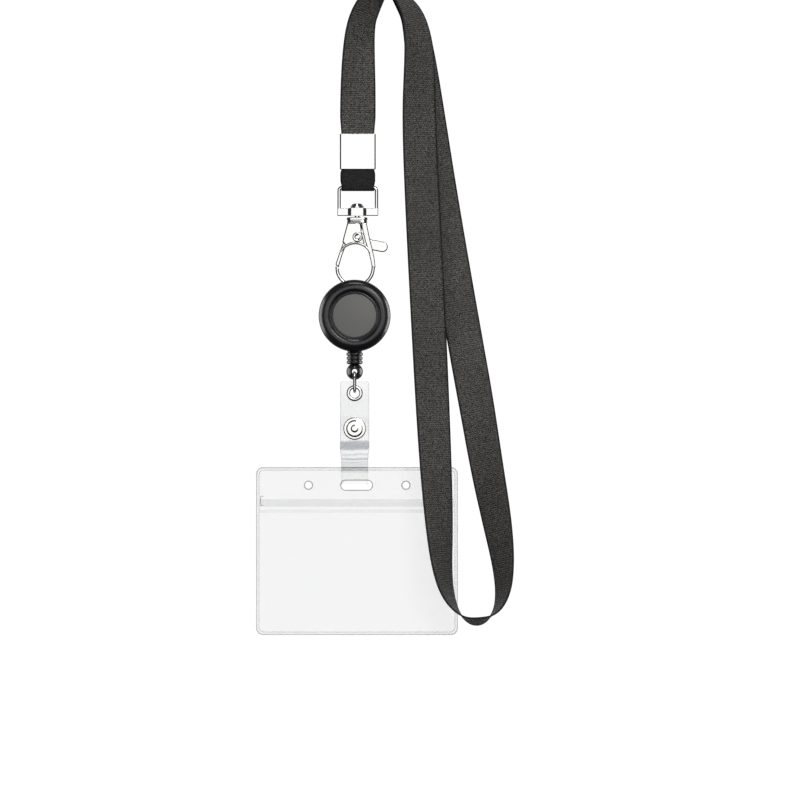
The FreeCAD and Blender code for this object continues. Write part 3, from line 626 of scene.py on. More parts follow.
def arc(cx: float, cz: float, radius: float, start: float, stop: float, steps: int = 10) -> list[Pair]:
    """Points on an arc; angles in degrees from +X towards +Z."""
    angles = [math.radians(start + (stop - start) * k / steps) for k in range(steps + 1)]
    return [(cx + radius * math.cos(a), cz + radius * math.sin(a)) for a in angles]


def curve_mesh(points: Sequence[Point], radius: float, cyclic: bool, resolution: int) -> bpy.types.Mesh:
    """The mesh of a smooth NURBS curve, in its points' own units.

    Args:
        points: its control points.
        radius: its bevel, or 0 for a bare line.
        cyclic: whether it is closed.
        resolution: steps from one control point to the next.

    Returns:
        The mesh, a line of vertices or a round tube with its ends filled.
    """
    curve = bpy.data.curves.new("curve", "CURVE")
    curve.dimensions = "3D"
    curve.resolution_u = resolution
    if radius:
        curve.bevel_depth = radius
        curve.bevel_resolution = 5
        curve.use_fill_caps = True
    spline = curve.splines.new("NURBS")
    spline.points.add(len(points) - 1)
    for knot, place in zip(spline.points, points):
        knot.co = (*place, 1.0)
    spline.order_u = 3
    spline.use_cyclic_u = cyclic
    spline.use_endpoint_u = not cyclic
    holder = bpy.data.objects.new("curve", curve)
    bpy.context.scene.collection.objects.link(holder)
    mesh = bpy.data.meshes.new_from_object(holder)
    bpy.data.objects.remove(holder)
    bpy.data.curves.remove(curve)
    return mesh


def smooth_line(points: Sequence[Point], resolution: int = 10) -> list[Vector]:
    """Points along a smooth NURBS curve.

    Args:
        points: its control points.
        resolution: steps from one control point to the next.

    Returns:
        The points, in the control points' own units.
    """
    mesh = curve_mesh(points, 0.0, False, resolution)
    line = [v.co.copy() for v in mesh.vertices]
    bpy.data.meshes.remove(mesh)
    return line


def travelled(line: Sequence[Vector]) -> list[float]:
    """How far along a line each of its points is."""
    steps = [(b - a).length for a, b in zip(line, line[1:])]
    return list(accumulate(steps, initial=0.0))


def wire(
    points: Sequence[Point], radius: float, cyclic: bool = False, resolution: int = 10
) -> bpy.types.Mesh:
    """A round wire along a smooth curve.

    Args:
        points: the curve's control points in millimetres.
        radius: the wire's radius in millimetres.
        cyclic: whether the wire is a closed ring.
        resolution: steps from one control point to the next.

    Returns:
        The closed tube.
    """
    mesh = curve_mesh([tuple(mm(*p)) for p in points], radius * MM, cyclic, resolution)
    bm = bmesh.new()
    bm.from_mesh(mesh)
    outward(bm)
    bm.to_mesh(mesh)
    bm.free()
    return mesh


def band(
    rows: Sequence[Any],
    columns: int,
    place: Callable[[int, float], Vector],
    map_place: Callable[[int, float], Pair],
) -> bmesh.types.BMesh:
    """A sheet from a grid, each vertex put in place by its row and its share across.

    Args:
        rows: one entry per row, only counted.
        columns: cells across.
        place: gives a vertex's point from its row and its share, -1 to 1, across.
        map_place: gives its place on the map called weave.

    Returns:
        The open sheet with its map.
    """
    bm = bmesh.new()
    count = len(rows)
    bmesh.ops.create_grid(bm, x_segments=columns, y_segments=count - 1, size=1.0)
    layer = bm.loops.layers.uv.new("weave")
    spots = {v: (round((v.co.y + 1) / 2 * (count - 1)), v.co.x) for v in bm.verts}
    for face in bm.faces:
        for loop in face.loops:
            loop[layer].uv = map_place(*spots[loop.vert])
    for vert, (row, share) in spots.items():
        vert.co = place(row, share)
    return bm


def thicken(obj: bpy.types.Object, thickness: float) -> None:
    """Gives a sheet its thickness in millimetres, half to each side.

    Args:
        obj: the sheet.
        thickness: its whole thickness in millimetres.
    """
    modifier = obj.modifiers.new("thickness", "SOLIDIFY")
    modifier.thickness = thickness * MM
    modifier.offset = 0.0
    modifier.use_even_offset = True


def even_shading(obj: bpy.types.Object) -> bpy.types.Object:
    """Keeps large flat faces flat in the light beside their bevels.

    Args:
        obj: the piece.

    Returns:
        The same piece.
    """
    modifier = obj.modifiers.new("even_shading", "WEIGHTED_NORMAL")
    modifier.weight = 100
    modifier.keep_sharp = True
    return obj


def dress(names: Iterable[str], material: bpy.types.Material) -> None:
    """Gives CAD nodes a finish.

    Args:
        names: the nodes' names.
        material: their finish.
    """
    for name in names:
        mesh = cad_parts[name].data
        mesh.materials.clear()
        mesh.materials.append(material)


# ------------------------------------------------------------------ neck ribbon
@dataclass
class NeckRibbon:
    """The long ribbon loop, its fold round the bail, and the crimp.

    Each entry of route is a point in metres and the ribbon's twist there in degrees.
    """

    width: float = 15.8
    crimped: float = 14.6
    thickness: float = 0.7
    tail_width: float = 14.5
    tail_thickness: float = 0.6
    crimp_x: float = -13.2
    crimp_top: float = -63.1
    crimp_bottom: float = -78.8
    crimp_width: float = 16.0
    crimp_depth: float = 3.4
    crimp_wall: float = 0.45
    route: tuple[tuple[float, float, float, float], ...] = (
        (-0.0132, -0.00005, -0.0711, -180),
        (-0.0132, 0.0, -0.0634, -180),
        (-0.0132, 0.0007, -0.0545, -177),
        (-0.0131, 0.0021, -0.0422, -167),
        (-0.0128, 0.004, -0.0284, -150),
        (-0.0121, 0.0056, -0.0178, -140),
        (-0.0102, 0.0068, -0.0098, -130),
        (-0.0064, 0.0078, -0.0033, -122),
        (0.0, 0.0082, 0.0013, -90),
        (0.0062, 0.0082, -0.0033, -64),
        (0.0109, 0.008, -0.0098, -53),
        (0.0133, 0.0076, -0.0187, -42),
        (0.0149, 0.0072, -0.0302, -32),
        (0.0182, 0.0066, -0.0547, -20),
        (0.0238, 0.0054, -0.0924, -12),
        (0.0336, 0.0015, -0.1502, -6),
        (0.0393, -0.0025, -0.1822, 14),
        (0.0442, -0.0075, -0.2124, 26),
        (0.0484, -0.011, -0.2347, 38),
        (0.0511, -0.0135, -0.2524, 54),
        (0.0513, -0.0155, -0.2658, 68),
        (0.048, -0.017, -0.2751, 86),
        (0.0402, -0.0175, -0.2796, 110),
        (0.0322, -0.0175, -0.2767, 92),
        (0.0267, -0.0168, -0.268, 72),
        (0.024, -0.016, -0.256, 58),
        (0.0227, -0.015, -0.2347, 40),
        (0.0209, -0.0138, -0.2036, 26),
        (0.0187, -0.0122, -0.1591, 16),
        (0.0156, -0.0104, -0.0969, 13),
        (0.0139, -0.0094, -0.0569, 20),
        (0.0143, -0.0088, -0.0302, 34),
        (0.0133, -0.0086, -0.0187, 44),
        (0.0109, -0.0084, -0.0098, 54),
        (0.0062, -0.0082, -0.0033, 66),
        (0.0, -0.0082, 0.0013, 90),
        (-0.0064, -0.0082, -0.0033, 123),
        (-0.0102, -0.0076, -0.0098, 132),
        (-0.0122, -0.0066, -0.0178, 142),
        (-0.0129, -0.005, -0.0302, 154),
        (-0.0131, -0.0025, -0.0465, 169),
        (-0.0132, -0.0008, -0.06, 180),
        (-0.0132, -0.00072, -0.0649, 180),
    )

    def build(self, finishes: Finishes) -> None:
        """Builds the ribbon, its fold and the crimp.

        Args:
            finishes: the finishes.
        """
        self.loop(finishes)
        self.fold(finishes)
        self.crimp(finishes)

    def loop(self, finishes: Finishes) -> None:
        """The long band, swept along the route with its twist.

        Args:
            finishes: the finishes.
        """
        line = smooth_line([row[:3] for row in self.route], 14)
        twist = smooth_line([(math.radians(row[3]), 0.0, 0.01 * k) for k, row in enumerate(self.route)], 14)
        last = len(line) - 1
        travel = travelled(line)
        total = travel[-1]

        def half(row: int) -> float:
            """Half the width, less where the crimp holds it."""
            free = min(travel[row] - 9.0 * MM, total - 2.0 * MM - travel[row]) / (7.0 * MM)
            return (self.crimped + (self.width - self.crimped) * min(1.0, max(0.0, free))) * MM / 2

        def place(row: int, share: float) -> Vector:
            """A vertex on the twisted cross-section."""
            tangent = (line[min(row + 1, last)] - line[max(row - 1, 0)]).normalized()
            across = Vector((tangent.z, 0, -tangent.x)).normalized()
            angle = twist[row].x
            wide = across * math.cos(angle) + tangent.cross(across) * math.sin(angle)
            return line[row] + wide * (share * half(row))

        bm = band(line, 12, place, lambda row, share: (travel[row], share * self.width * MM / 2))
        ribbon = piece("neck_loop", bm, Body.RIBBON, finishes.weave, finishes, ["neck_ribbon"], 60.0)
        thicken(ribbon, self.thickness)
        tuple(line[0])
        [tuple(p) for p in line]

    def fold(self, finishes: Finishes) -> None:
        """The fold round the bail's bar with its two legs in the crimp.

        Args:
            finishes: the finishes.
        """
        control = (
            (0.0, -0.75, -65.3),
            (0.0, -0.76, -79.0),
            (0.0, -1.22, -85.0),
            (0.0, -1.22, -88.15),
            (0.0, 0.0, -88.2),
            (0.0, 1.22, -88.15),
            (0.0, 1.22, -85.0),
            (0.0, 0.76, -79.0),
            (0.0, 0.75, -66.0),
        )
        line = smooth_line(control)
        travel = travelled(line)

        def place(row: int, share: float) -> Vector:
            """A vertex; the fold is 1 mm wider between the crimp and the bail."""
            z = line[row].z
            out = min(1.0, max(0.0, (-78.9 - z) / 1.6)) * min(1.0, max(0.0, (z + 86.4) / 2.4))
            half = (self.tail_width + out) / 2
            return mm(self.crimp_x + share * half, line[row].y, z)

        bm = band(line, 12, place, lambda row, share: (travel[row] * MM, share * self.width * MM / 2))
        # the fold wears the darker copy of the weave, which is painted shade
        tail = piece("ribbon_fold", bm, Body.RIBBON, finishes.fold, finishes, ["ribbon_tail"], 60.0)
        thicken(tail, self.tail_thickness)

    def crimp(self, finishes: Finishes) -> None:
        """The folded clamp with its seam at the back.

        Args:
            finishes: the finishes.
        """
        corner, wall, seam = 0.85, self.crimp_wall, 0.25
        across, deep = self.crimp_width / 2, self.crimp_depth / 2
        right, back = across - corner, deep - corner
        outline: list[Pair] = [(-seam, deep)]
        for x, y, start in ((-right, back, 90), (-right, -back, 180), (right, -back, 270), (right, back, 0)):
            outline += arc(x, y, corner, start, start + 90, 5)
        outline += [(seam, deep), (seam, deep - wall)]
        for x, y, start in ((right, back, 90), (right, -back, 0), (-right, -back, 270), (-right, back, 180)):
            outline += arc(x, y, corner - wall, start, start - 90, 5)
        outline += [(-seam, deep - wall)]
        bm = bmesh.new()
        face = bm.faces.new([bm.verts.new(mm(self.crimp_x + x, y, self.crimp_bottom)) for x, y in outline])
        push(bm, [face], mm(0, 0, self.crimp_top - self.crimp_bottom))
        bmesh.ops.recalc_face_normals(bm, faces=bm.faces)
        rims = [e for e in bm.edges if abs(e.verts[0].co.z - e.verts[1].co.z) < 1e-9]
        round_edges(bm, rims, 0.2, 3)
        outward(bm)
        even_shading(piece("crimp", bm, Body.RIBBON, finishes.nickel, finishes, ["crimp_clamp"], 50.0))


# ------------------------------------------------------------------ swivel hook
@dataclass
class SwivelHook:
    """The bail, the swivel post and the slotted hook with its gate."""

    x: float = -13.5
    loop_x: float = -14.4
    loop_z: float = -122.6
    loop_r: float = 8.0
    wire_r: float = 0.82
    pivot_x: float = -13.34
    pivot_z: float = -109.0
    half_depth: float = 1.7
    slot_half: float = 0.72

    def build(self, finishes: Finishes) -> None:
        """Builds the hook's pieces and dresses the small CAD ones.

        Args:
            finishes: the finishes.
        """
        dress(["bail", "swivel_post"], finishes.nickel)
        dress(["gate_spring"], finishes.steel)
        self.collar(finishes)
        self.cheeks(finishes)
        self.loop(finishes)
        self.gate(finishes)
        self.rivet(finishes)

    def collar(self, finishes: Finishes) -> None:
        """The round collar under the bail.

        Args:
            finishes: the finishes.
        """
        profile = [(1.15, -100.2), (4.2, -100.2), (4.55, -100.35), (4.65, -100.7), (4.65, -101.3)]
        profile += [(4.35, -101.55), (4.35, -101.9), (4.55, -102.1), (4.55, -102.45), (4.3, -102.6)]
        profile += [(1.15, -102.6)]
        bm = turned(profile, mm(self.x, 0, 0), Vector((0, 0, 1)), 72)
        for vert in bm.verts:
            across, deep = vert.co.x / MM - self.x, vert.co.y / MM
            reach = math.hypot(across, deep)
            if reach > 2.0:
                share = (abs(across / reach) ** 4 + abs(deep / reach) ** 4) ** 0.25
                vert.co.x = (self.x + across / max(share, 0.86)) * MM
                vert.co.y = deep / max(share, 0.86) * 0.6 * MM
        piece("hook_collar", bm, Body.HOOK, finishes.cast, finishes)

    def cheeks(self, finishes: Finishes) -> None:
        """The two cheeks with their arched foot, the neck between them and the side strip.

        Args:
            finishes: the finishes.
        """
        left = [(-12.35, -102.5), (-17.9, -102.5), (-18.5, -105.0), (-19.75, -109.6), (-20.1, -111.2)]
        left += [(-19.2, -112.0)]
        arch = arc(-14.3, -119.0, 7.35, 128, 62, 12)
        cheek = left + arch + [(-10.2, -111.4), (-11.3, -107.2)]
        sides = (
            ("front", -self.half_depth, -self.slot_half, Rim.FRONT),
            ("back", self.slot_half, self.half_depth, Rim.BACK),
        )
        for side, y0, y1, rim in sides:
            bm = plate(cheek, y0, y1, 0.72, 6, rim)
            name = "hook_cheek_" + side
            nodes = ["hook_body"] if rim is Rim.FRONT else []
            even_shading(piece(name, bm, Body.HOOK, finishes.cast, finishes, nodes, 50.0))
        neck = [(-12.5, -102.4), (-17.4, -102.4), (-18.1, -105.0), (-12.3, -105.0)]
        piece("hook_neck", plate(neck, -1.35, 1.35, 0.15), Body.HOOK, finishes.cast, finishes)
        bm = plate([(-12.6, -102.4), (-11.3, -102.4), (-10.9, -105.6), (-11.9, -105.6)], -1.3, 0.9, 0)
        for vert in bm.verts:
            if vert.co.y < 0 and vert.co.x > -11.95 * MM:
                vert.co.y = 0.2 * MM
        piece("hook_groove", bm, Body.HOOK, finishes.cast, finishes)
        lip = arc(-14.3, -119.0, 7.5, 150, 22, 9)
        for name, y in (("hook_arch_front", -1.15), ("hook_arch_back", 1.15)):
            points = [(x, y * (1.0 if k < 7 else 0.8), z) for k, (x, z) in enumerate(lip)]
            piece(name, wire(points, 0.58), Body.HOOK, finishes.cast, finishes)
        strip = [(-11.75, -102.5), (-11.0, -106.6), (-10.05, -110.6), (-8.7, -114.8), (-7.75, -118.6)]
        strip += [(-6.9, -122.4), (-5.3, -122.4), (-5.75, -118.4), (-6.7, -114.0), (-7.75, -109.8)]
        strip += [(-9.25, -102.5)]
        for side, y0, y1, rim in sides:
            bm = plate(strip, y0, y1, 0.6, 6, rim)
            name = "hook_strip_" + side
            for vert in bm.verts:
                low = min(1.0, max(0.0, (-112.0 - vert.co.z / MM) / 9.0))
                vert.co.y *= 1.0 - 0.42 * low
            even_shading(piece(name, bm, Body.HOOK, finishes.cast, finishes, (), 50.0))

    def loop(self, finishes: Finishes) -> None:
        """The round loop from its slanted tip to the right arm.

        Args:
            finishes: the finishes.
        """
        tip = arc(self.loop_x, self.loop_z, self.loop_r, 176, 186, 1)
        around = arc(self.loop_x, self.loop_z, self.loop_r / math.cos(math.radians(11.5)), 201, 362, 7)
        rise = [(-6.45, -120.0), (-7.0, -116.0), (-8.1, -112.6)]
        points = [(x, 0.0, z) for x, z in tip + around + rise]
        mesh = wire(points, self.wire_r, resolution=12)
        bm = bmesh.new()
        bm.from_mesh(mesh)
        bpy.data.meshes.remove(mesh)
        cut = mm(self.loop_x - self.loop_r, 0, self.loop_z + 0.25)
        slant = Vector((0.69, 0, 0.72))
        bmesh.ops.bisect_plane(
            bm, geom=bm.verts[:] + bm.edges[:] + bm.faces[:], plane_co=cut, plane_no=slant
        )
        left = (self.loop_x - 5.0) * MM
        doomed = [v for v in bm.verts if v.co.x < left and (v.co - cut).dot(slant) > 1e-7]
        bmesh.ops.delete(bm, geom=doomed, context="VERTS")
        open_edges = [e for e in bm.edges if e.is_boundary]
        bmesh.ops.holes_fill(bm, edges=open_edges, sides=0)
        outward(bm)
        piece("hook_loop", bm, Body.HOOK, finishes.cast, finishes)

    def gate(self, finishes: Finishes) -> None:
        """The gate lever: hub, arm and thumb tab.

        Args:
            finishes: the finishes.
        """
        arm = [(-14.0, -106.5), (-16.2, -107.3), (-18.9, -109.6), (-20.2, -112.4), (-21.6, -116.4)]
        arm += [(-23.05, -120.6), (-23.05, -121.4), (-21.75, -122.55), (-21.3, -121.2), (-20.2, -117.4)]
        arm += [(-18.6, -113.2), (-16.6, -111.0), (-14.0, -111.3)]
        bm = plate(arm, -0.66, 0.66, 0.62, 5)
        even_shading(piece("gate_arm", bm, Body.GATE, finishes.cast, finishes, ["gate_lever"], 50.0))
        tab = [(-13.4, -106.6), (-10.5, -107.5), (-7.2, -110.0)]
        tab += arc(-2.2, -113.28, 2.36, 82, -98, 12)
        tab += [(-6.5, -114.85), (-8.6, -114.2), (-11.2, -112.2), (-13.4, -111.5)]
        bm = plate(tab, -0.62, 0.62, 0.58, 5)
        even_shading(piece("gate_tab", bm, Body.GATE, finishes.cast, finishes, (), 50.0))

    def rivet(self, finishes: Finishes) -> None:
        """The rivet with its rolled rim on both faces.

        Args:
            finishes: the finishes.
        """
        face = self.half_depth + 0.02
        head = [(0.0, 0.3), (0.8, 0.3), (1.05, 0.2), (1.2, 0.3), (1.4, 0.42), (1.75, 0.43), (2.05, 0.3)]
        head += [(2.2, 0.1), (2.2, 0.0), (1.1, 0.0)]
        half = [(r, -face - out) for r, out in head]
        profile = half + [(r, -y) for r, y in reversed(half)]
        bm = turned(profile, mm(self.pivot_x, 0, self.pivot_z), Vector((0, 1, 0)), 48)
        piece("rivet", bm, Body.HOOK, finishes.nickel, finishes, ["gate_rivet"])


# ------------------------------------------------------------------ cord reel
@dataclass
class CordReel:
    """The round reel, its label, its inner parts, its cord end with the link, and its belt clip."""

    x: float = -14.6
    z: float = -143.9
    radius: float = 16.0
    crest_r: float = 12.4
    crest_y: float = -5.5
    recess_y: float = -4.3
    label_r: float = 9.5
    clip_width: float = 9.0

    def build(self, finishes: Finishes) -> None:
        """Builds and dresses the reel.

        Args:
            finishes: the finishes.
        """
        dress(["reel_back_cover"], finishes.black)
        dress(["axle_post", "power_spring"], finishes.steel)
        dress(["spool"], finishes.acetal)
        dress(["wound_cord"], finishes.cord)
        dress(["exit_bush", "clip_rivet", "link_ring"], finishes.nickel)
        self.cover(finishes)
        self.label(finishes)
        self.drawn_cord(finishes)
        self.cord_end(finishes)
        self.belt_clip(finishes)

    def centre(self) -> Vector:
        """The reel's centre at y 0."""
        return mm(self.x, 0, self.z)

    def cover(self, finishes: Finishes) -> None:
        """The domed front cover with its crest, slope and groove.

        Args:
            finishes: the finishes.
        """
        profile: list[Pair] = [(14.2, -1.5), (15.6, -1.5), (15.9, -1.6), (16.0, -1.85), (16.0, -2.3)]
        rise = self.crest_y + 2.3
        for k in range(1, 15):
            a = math.radians(90 * k / 14)
            span = self.radius - self.crest_r
            profile.append((self.crest_r + span * math.cos(a), -2.3 + rise * math.sin(a)))
        profile += [(12.0, -5.47), (11.6, -5.36), (11.2, -5.16), (10.85, -4.93), (10.6, -4.8), (10.45, -4.82)]
        profile += [(10.3, -4.9), (10.15, -4.94), (10.02, -4.88), (9.93, -4.72), (9.88, -4.5)]
        profile += [(9.82, self.recess_y), (0.0, self.recess_y), (0.0, -2.7), (14.0, -2.7), (14.2, -2.5)]
        bm = turned(profile, self.centre(), Vector((0, 1, 0)), 160)
        piece("reel_front", bm, Body.REEL, finishes.black, finishes, ["reel_front_cover"], 50.0)
        boss = [(0.5, -158.0), (3.1, -158.0), (3.3, -158.6), (3.3, -159.7), (3.1, -159.98), (0.5, -159.98)]
        bm = turned(boss, mm(self.x, 0, 0), Vector((0, 0, 1)), 48)
        for vert in bm.verts:
            vert.co.y *= 0.95
        piece("cord_guide", bm, Body.REEL, finishes.black, finishes)

    def label(self, finishes: Finishes) -> None:
        """The grey label with a slightly rolled edge.

        Args:
            finishes: the finishes.
        """
        top = self.recess_y - 0.27
        r = self.label_r
        profile = [(0.0, self.recess_y), (r, self.recess_y), (r + 0.02, top + 0.12)]
        profile += [(r - 0.06, top + 0.03), (r - 0.2, top), (0.0, top)]
        bm = turned(profile, self.centre(), Vector((0, 1, 0)), 128)
        piece("label", bm, Body.REEL, finishes.label, finishes, ["label_disc"])

    def drawn_cord(self, finishes: Finishes) -> None:
        """The short stretch of cord between the reel and its cord end.

        Args:
            finishes: the finishes.
        """
        points = [(self.x, y, z) for y, z in ((0, -160.4), (0.02, -158.5), (0, -156.5), (0.02, -154.6))]
        mesh = wire(points, 0.42)
        cord = piece("pull_cord", mesh, None, finishes.cord, finishes, ["draw_cord"])
        low, high = mm(self.x, 0, -160.35), mm(self.x, 0, -154.7)
        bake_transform(cord)

    def cord_end(self, finishes: Finishes) -> None:
        """The ribbed end with its drilled ball.

        Args:
            finishes: the finishes.
        """
        profile: list[Pair] = [(0.45, -160.05), (3.3, -160.05)]
        for rib, reach in ((-160.95, 3.72), (-162.75, 3.6), (-164.55, 3.6)):
            bump = [(3.05, 0.78), (reach - 0.2, 0.62), (reach, 0.25)]
            profile += [(r, rib + up) for r, up in bump] + [(r, rib - up) for r, up in reversed(bump)]
        profile += [(2.75, -165.5)]
        ball_z, ball_r = -168.7, 3.7
        for k in range(4, 31):
            a = math.radians(90 - 180 * k / 30)
            profile.append((max(0.0, ball_r * math.cos(a)), ball_z + ball_r * math.sin(a)))
        profile += [(0.0, -161.0), (0.45, -161.0)]
        bm = turned(profile, mm(self.x, 0, 0), Vector((0, 0, 1)), 72)
        end = piece("cord_stop", bm, Body.CORD_END, finishes.black, finishes, ["cord_end"], 55.0)
        drill = bmesh.new()
        turn = Matrix.Translation(mm(self.x, 0, ball_z)) @ Matrix.Rotation(math.pi / 2, 4, "X")
        hole_r = 1.15 * MM
        bmesh.ops.create_cone(
            drill, cap_ends=True, segments=40, radius1=hole_r, radius2=hole_r, depth=12 * MM, matrix=turn
        )
        self.cut(end, drill)

    def cut(self, obj: bpy.types.Object, tool: bmesh.types.BMesh) -> None:
        """Cuts a tool out of an object's mesh for good.

        Args:
            obj: the object that is cut.
            tool: the shape that is taken out.
        """
        mesh = bpy.data.meshes.new("tool")
        tool.to_mesh(mesh)
        tool.free()
        holder = bpy.data.objects.new("tool", mesh)
        bpy.context.scene.collection.objects.link(holder)
        modifier = obj.modifiers.new("cut", "BOOLEAN")
        modifier.operation = "DIFFERENCE"
        modifier.solver = "EXACT"
        modifier.object = holder
        graph = bpy.context.evaluated_depsgraph_get()
        made = bpy.data.meshes.new_from_object(obj.evaluated_get(graph))
        obj.modifiers.clear()
        obj.data = made
        made.shade_smooth()
        made.set_sharp_from_angle(angle=math.radians(50))
        bpy.data.objects.remove(holder)

    def belt_clip(self, finishes: Finishes) -> None:
        """The belt clip, one bent strip of sheet steel with a flared lip.

        Args:
            finishes: the finishes.
        """
        half = self.clip_width / 2
        control = (
            (0.0, 4.1, -150.9),
            (0.0, 4.1, -142.0),
            (0.0, 4.1, -133.6),
            (0.0, 4.12, -131.6),
            (0.0, 5.75, -131.35),
            (0.0, 7.38, -131.6),
            (0.0, 7.4, -133.6),
            (0.0, 6.6, -141.0),
            (0.0, 5.05, -151.6),
            (0.0, 5.0, -153.2),
            (0.0, 6.9, -157.4),
        )
        line = smooth_line(control, 8)

        def place(row: int, share: float) -> Vector:
            """A vertex; both ends of the strip are rounded."""
            y, z = line[row].y, line[row].z
            low, lip = (z + 150.9) / 2.0, (z + 157.4) / 1.6
            trim = 0.0
            if row < len(line) // 3:
                trim = 1.3 * (1 - min(1.0, max(0.0, low))) ** 2
            elif y > 5 and z < -150:
                trim = 1.2 * (1 - min(1.0, max(0.0, lip))) ** 2
            return mm(self.x + share * (half - trim), y, z)

        bm = band(line, 10, place, lambda row, share: (row * MM, share * half * MM))
        clip = piece("clip_strip", bm, None, finishes.clip, finishes, ["clip_base", "clip_arm"], 60.0)
        thicken(clip, 0.65)
        tuple(mm(self.x, 5.0, -133.0))
        tuple(mm(self.x, 7.2, -134.5))
        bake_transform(clip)


# ------------------------------------------------------------------ strap
@dataclass
class SnapStrap:
    """The clear strap with its eyelet and its snap."""

    x: float = -14.6
    top: float = -172.8
    width: float = 13.0
    low_width: float = 12.0
    thickness: float = 0.5
    eyelet_z: float = -178.3
    snap_z: float = -194.0

    def build(self, finishes: Finishes) -> None:
        """Builds the strap.

        Args:
            finishes: the finishes.
        """
        dress(["snap_socket", "snap_stud"], finishes.nickel)
        self.front(finishes)
        self.flap(finishes)
        self.eyelet(finishes)
        self.snap(finishes)

    def half_width(self, z: float, corner: float, end: float) -> float:
        """Half the strap's width at a height, with a rounded end.

        Args:
            z: the height.
            corner: the radius of the end's corners.
            end: the height of the end.

        Returns:
            Half the width in millimetres.
        """
        blend = min(1.0, max(0.0, (-203.0 - z) / 5.0))
        half = (self.width + (self.low_width - self.width) * blend) / 2
        depth = end - z
        if 0 <= depth < corner:
            half -= corner - math.sqrt(corner * corner - (corner - depth) ** 2)
        return half

    def strip(
        self,
        name: str,
        control: Sequence[Point],
        body: Body | None,
        end: float,
        finishes: Finishes,
        nodes: list[str],
    ) -> bpy.types.Object:
        """One strap layer along a side view, with a hole where the eyelet goes.

        Args:
            name: the piece's name.
            control: control points of its side view, in millimetres.
            body: the body it rides on, or None to leave it on no body.
            end: the height of its rounded end.
            finishes: the finishes.
            nodes: the CAD nodes that it stands for.

        Returns:
            The finished layer.
        """
        line = smooth_line(control)

        def place(row: int, share: float) -> Vector:
            """A vertex; the layer is slightly cupped across."""
            spot = line[row]
            cup = 0.12 * share * share
            half = self.half_width(spot.z, 1.8, end)
            return mm(self.x + share * half, spot.y + (cup if spot.y <= 0 else -cup), spot.z)

        bm = band(line, 26, place, lambda row, share: (row * MM, share * self.width * MM / 2))
        hole = mm(self.x, 0, self.eyelet_z)
        doomed = [f for f in bm.faces if (f.calc_center_median() - hole).length < 2.85 * MM]
        bmesh.ops.delete(bm, geom=doomed, context="FACES")
        vinyl = finishes.strap if body else finishes.strap_back
        layer = piece(name, bm, body, vinyl, finishes, nodes, 60.0)
        thicken(layer, self.thickness)
        return layer

    def front(self, finishes: Finishes) -> None:
        """The front layer with its bends and the fold through the pouch's slot.

        Args:
            finishes: the finishes.
        """
        control: tuple[Point, ...] = tuple((0.0, 0.0, self.top - 0.35 * k) for k in range(7)) + (
            (0.0, 0.0, -177.0),
            (0.0, 0.0, -179.0),
            (0.0, 0.0, -181.5),
            (0.0, -0.2, -184.0),
            (0.0, -0.95, -188.0),
            (0.0, -1.05, -191.0),
            (0.0, -1.05, -197.0),
            (0.0, -1.05, -199.4),
            (0.0, -1.9, -203.2),
            (0.0, -2.1, -205.4),
            (0.0, -1.6, -207.4),
            (0.0, -2.05, -209.2),
            (0.0, -2.0, -212.4),
            (0.0, -1.65, -214.0),
            (0.0, -1.65, -216.2),
            (0.0, -1.6, -218.2),
            (0.0, 0.0, -218.75),
            (0.0, 1.6, -218.2),
            (0.0, 1.65, -216.9),
        )
        self.strip("strap_sheet", control, Body.STRAP, self.top, finishes, ["strap_front"])

    def flap(self, finishes: Finishes) -> None:
        """The back layer behind the snap.

        Args:
            finishes: the finishes.
        """
        control: tuple[Point, ...] = tuple((0.0, 1.05, -188.5 - 0.35 * k) for k in range(6)) + (
            (0.0, 1.05, -194.0),
            (0.0, 1.05, -199.4),
            (0.0, 1.6, -205.0),
            (0.0, 1.65, -211.0),
            (0.0, 1.65, -216.9),
        )
        flap = self.strip("strap_back", control, None, -188.5, finishes, ["strap_flap"])
        tuple(mm(self.x, 1.65, -217.0))
        tuple(mm(self.x, 1.65, -214.5))
        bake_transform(flap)

    def eyelet(self, finishes: Finishes) -> None:
        """The rolled metal grommet.

        Args:
            finishes: the finishes.
        """
        half = [(2.05, 0.0), (2.03, -0.25), (2.14, -0.48), (2.4, -0.66), (2.7, -0.7), (3.05, -0.69)]
        half += [(3.3, -0.58), (3.5, -0.4), (3.58, -0.28), (3.4, -0.27), (2.55, -0.27)]
        profile = half + [(r, -y) for r, y in reversed(half[1:])]
        bm = turned(profile, mm(self.x, 0, self.eyelet_z), Vector((0, 1, 0)), 64)
        piece("grommet", bm, Body.STRAP, finishes.nickel, finishes, ["strap_eyelet"], 60.0)

    def snap(self, finishes: Finishes) -> None:
        """The ringed cap in front and the plain cap behind.

        Args:
            finishes: the finishes.
        """
        face = 1.3
        centre = mm(self.x, 0, self.snap_z)
        rings = [(0.0, -0.86), (0.95, -0.86), (1.2, -0.84), (1.7, -0.54), (1.85, -0.53), (3.05, -0.53)]
        rings += [(3.2, -0.51), (3.75, -0.2), (3.9, -0.19), (4.5, -0.19), (4.65, -0.17), (4.97, -0.02)]
        rings += [(5.0, 0.0), (1.15, 0.0), (1.15, 0.5), (0.0, 0.5)]
        bm = turned([(r, h - face) for r, h in rings], centre, Vector((0, 1, 0)), 80)
        piece("snap_ring_cap", bm, Body.STRAP, finishes.nickel, finishes, ["snap_cap"], 60.0)
        cap = [(0.0, -0.5), (0.95, -0.5), (0.95, 0.0), (4.3, 0.0), (4.5, 0.12), (4.35, 0.32), (3.8, 0.5)]
        cap += [(2.6, 0.62), (1.4, 0.52), (0.0, 0.45)]
        bm = turned([(r, face + h) for r, h in cap], centre, Vector((0, 1, 0)), 64)
        piece("snap_back_cap", bm, Body.FLAP, finishes.nickel, finishes, ["snap_post"], 60.0)


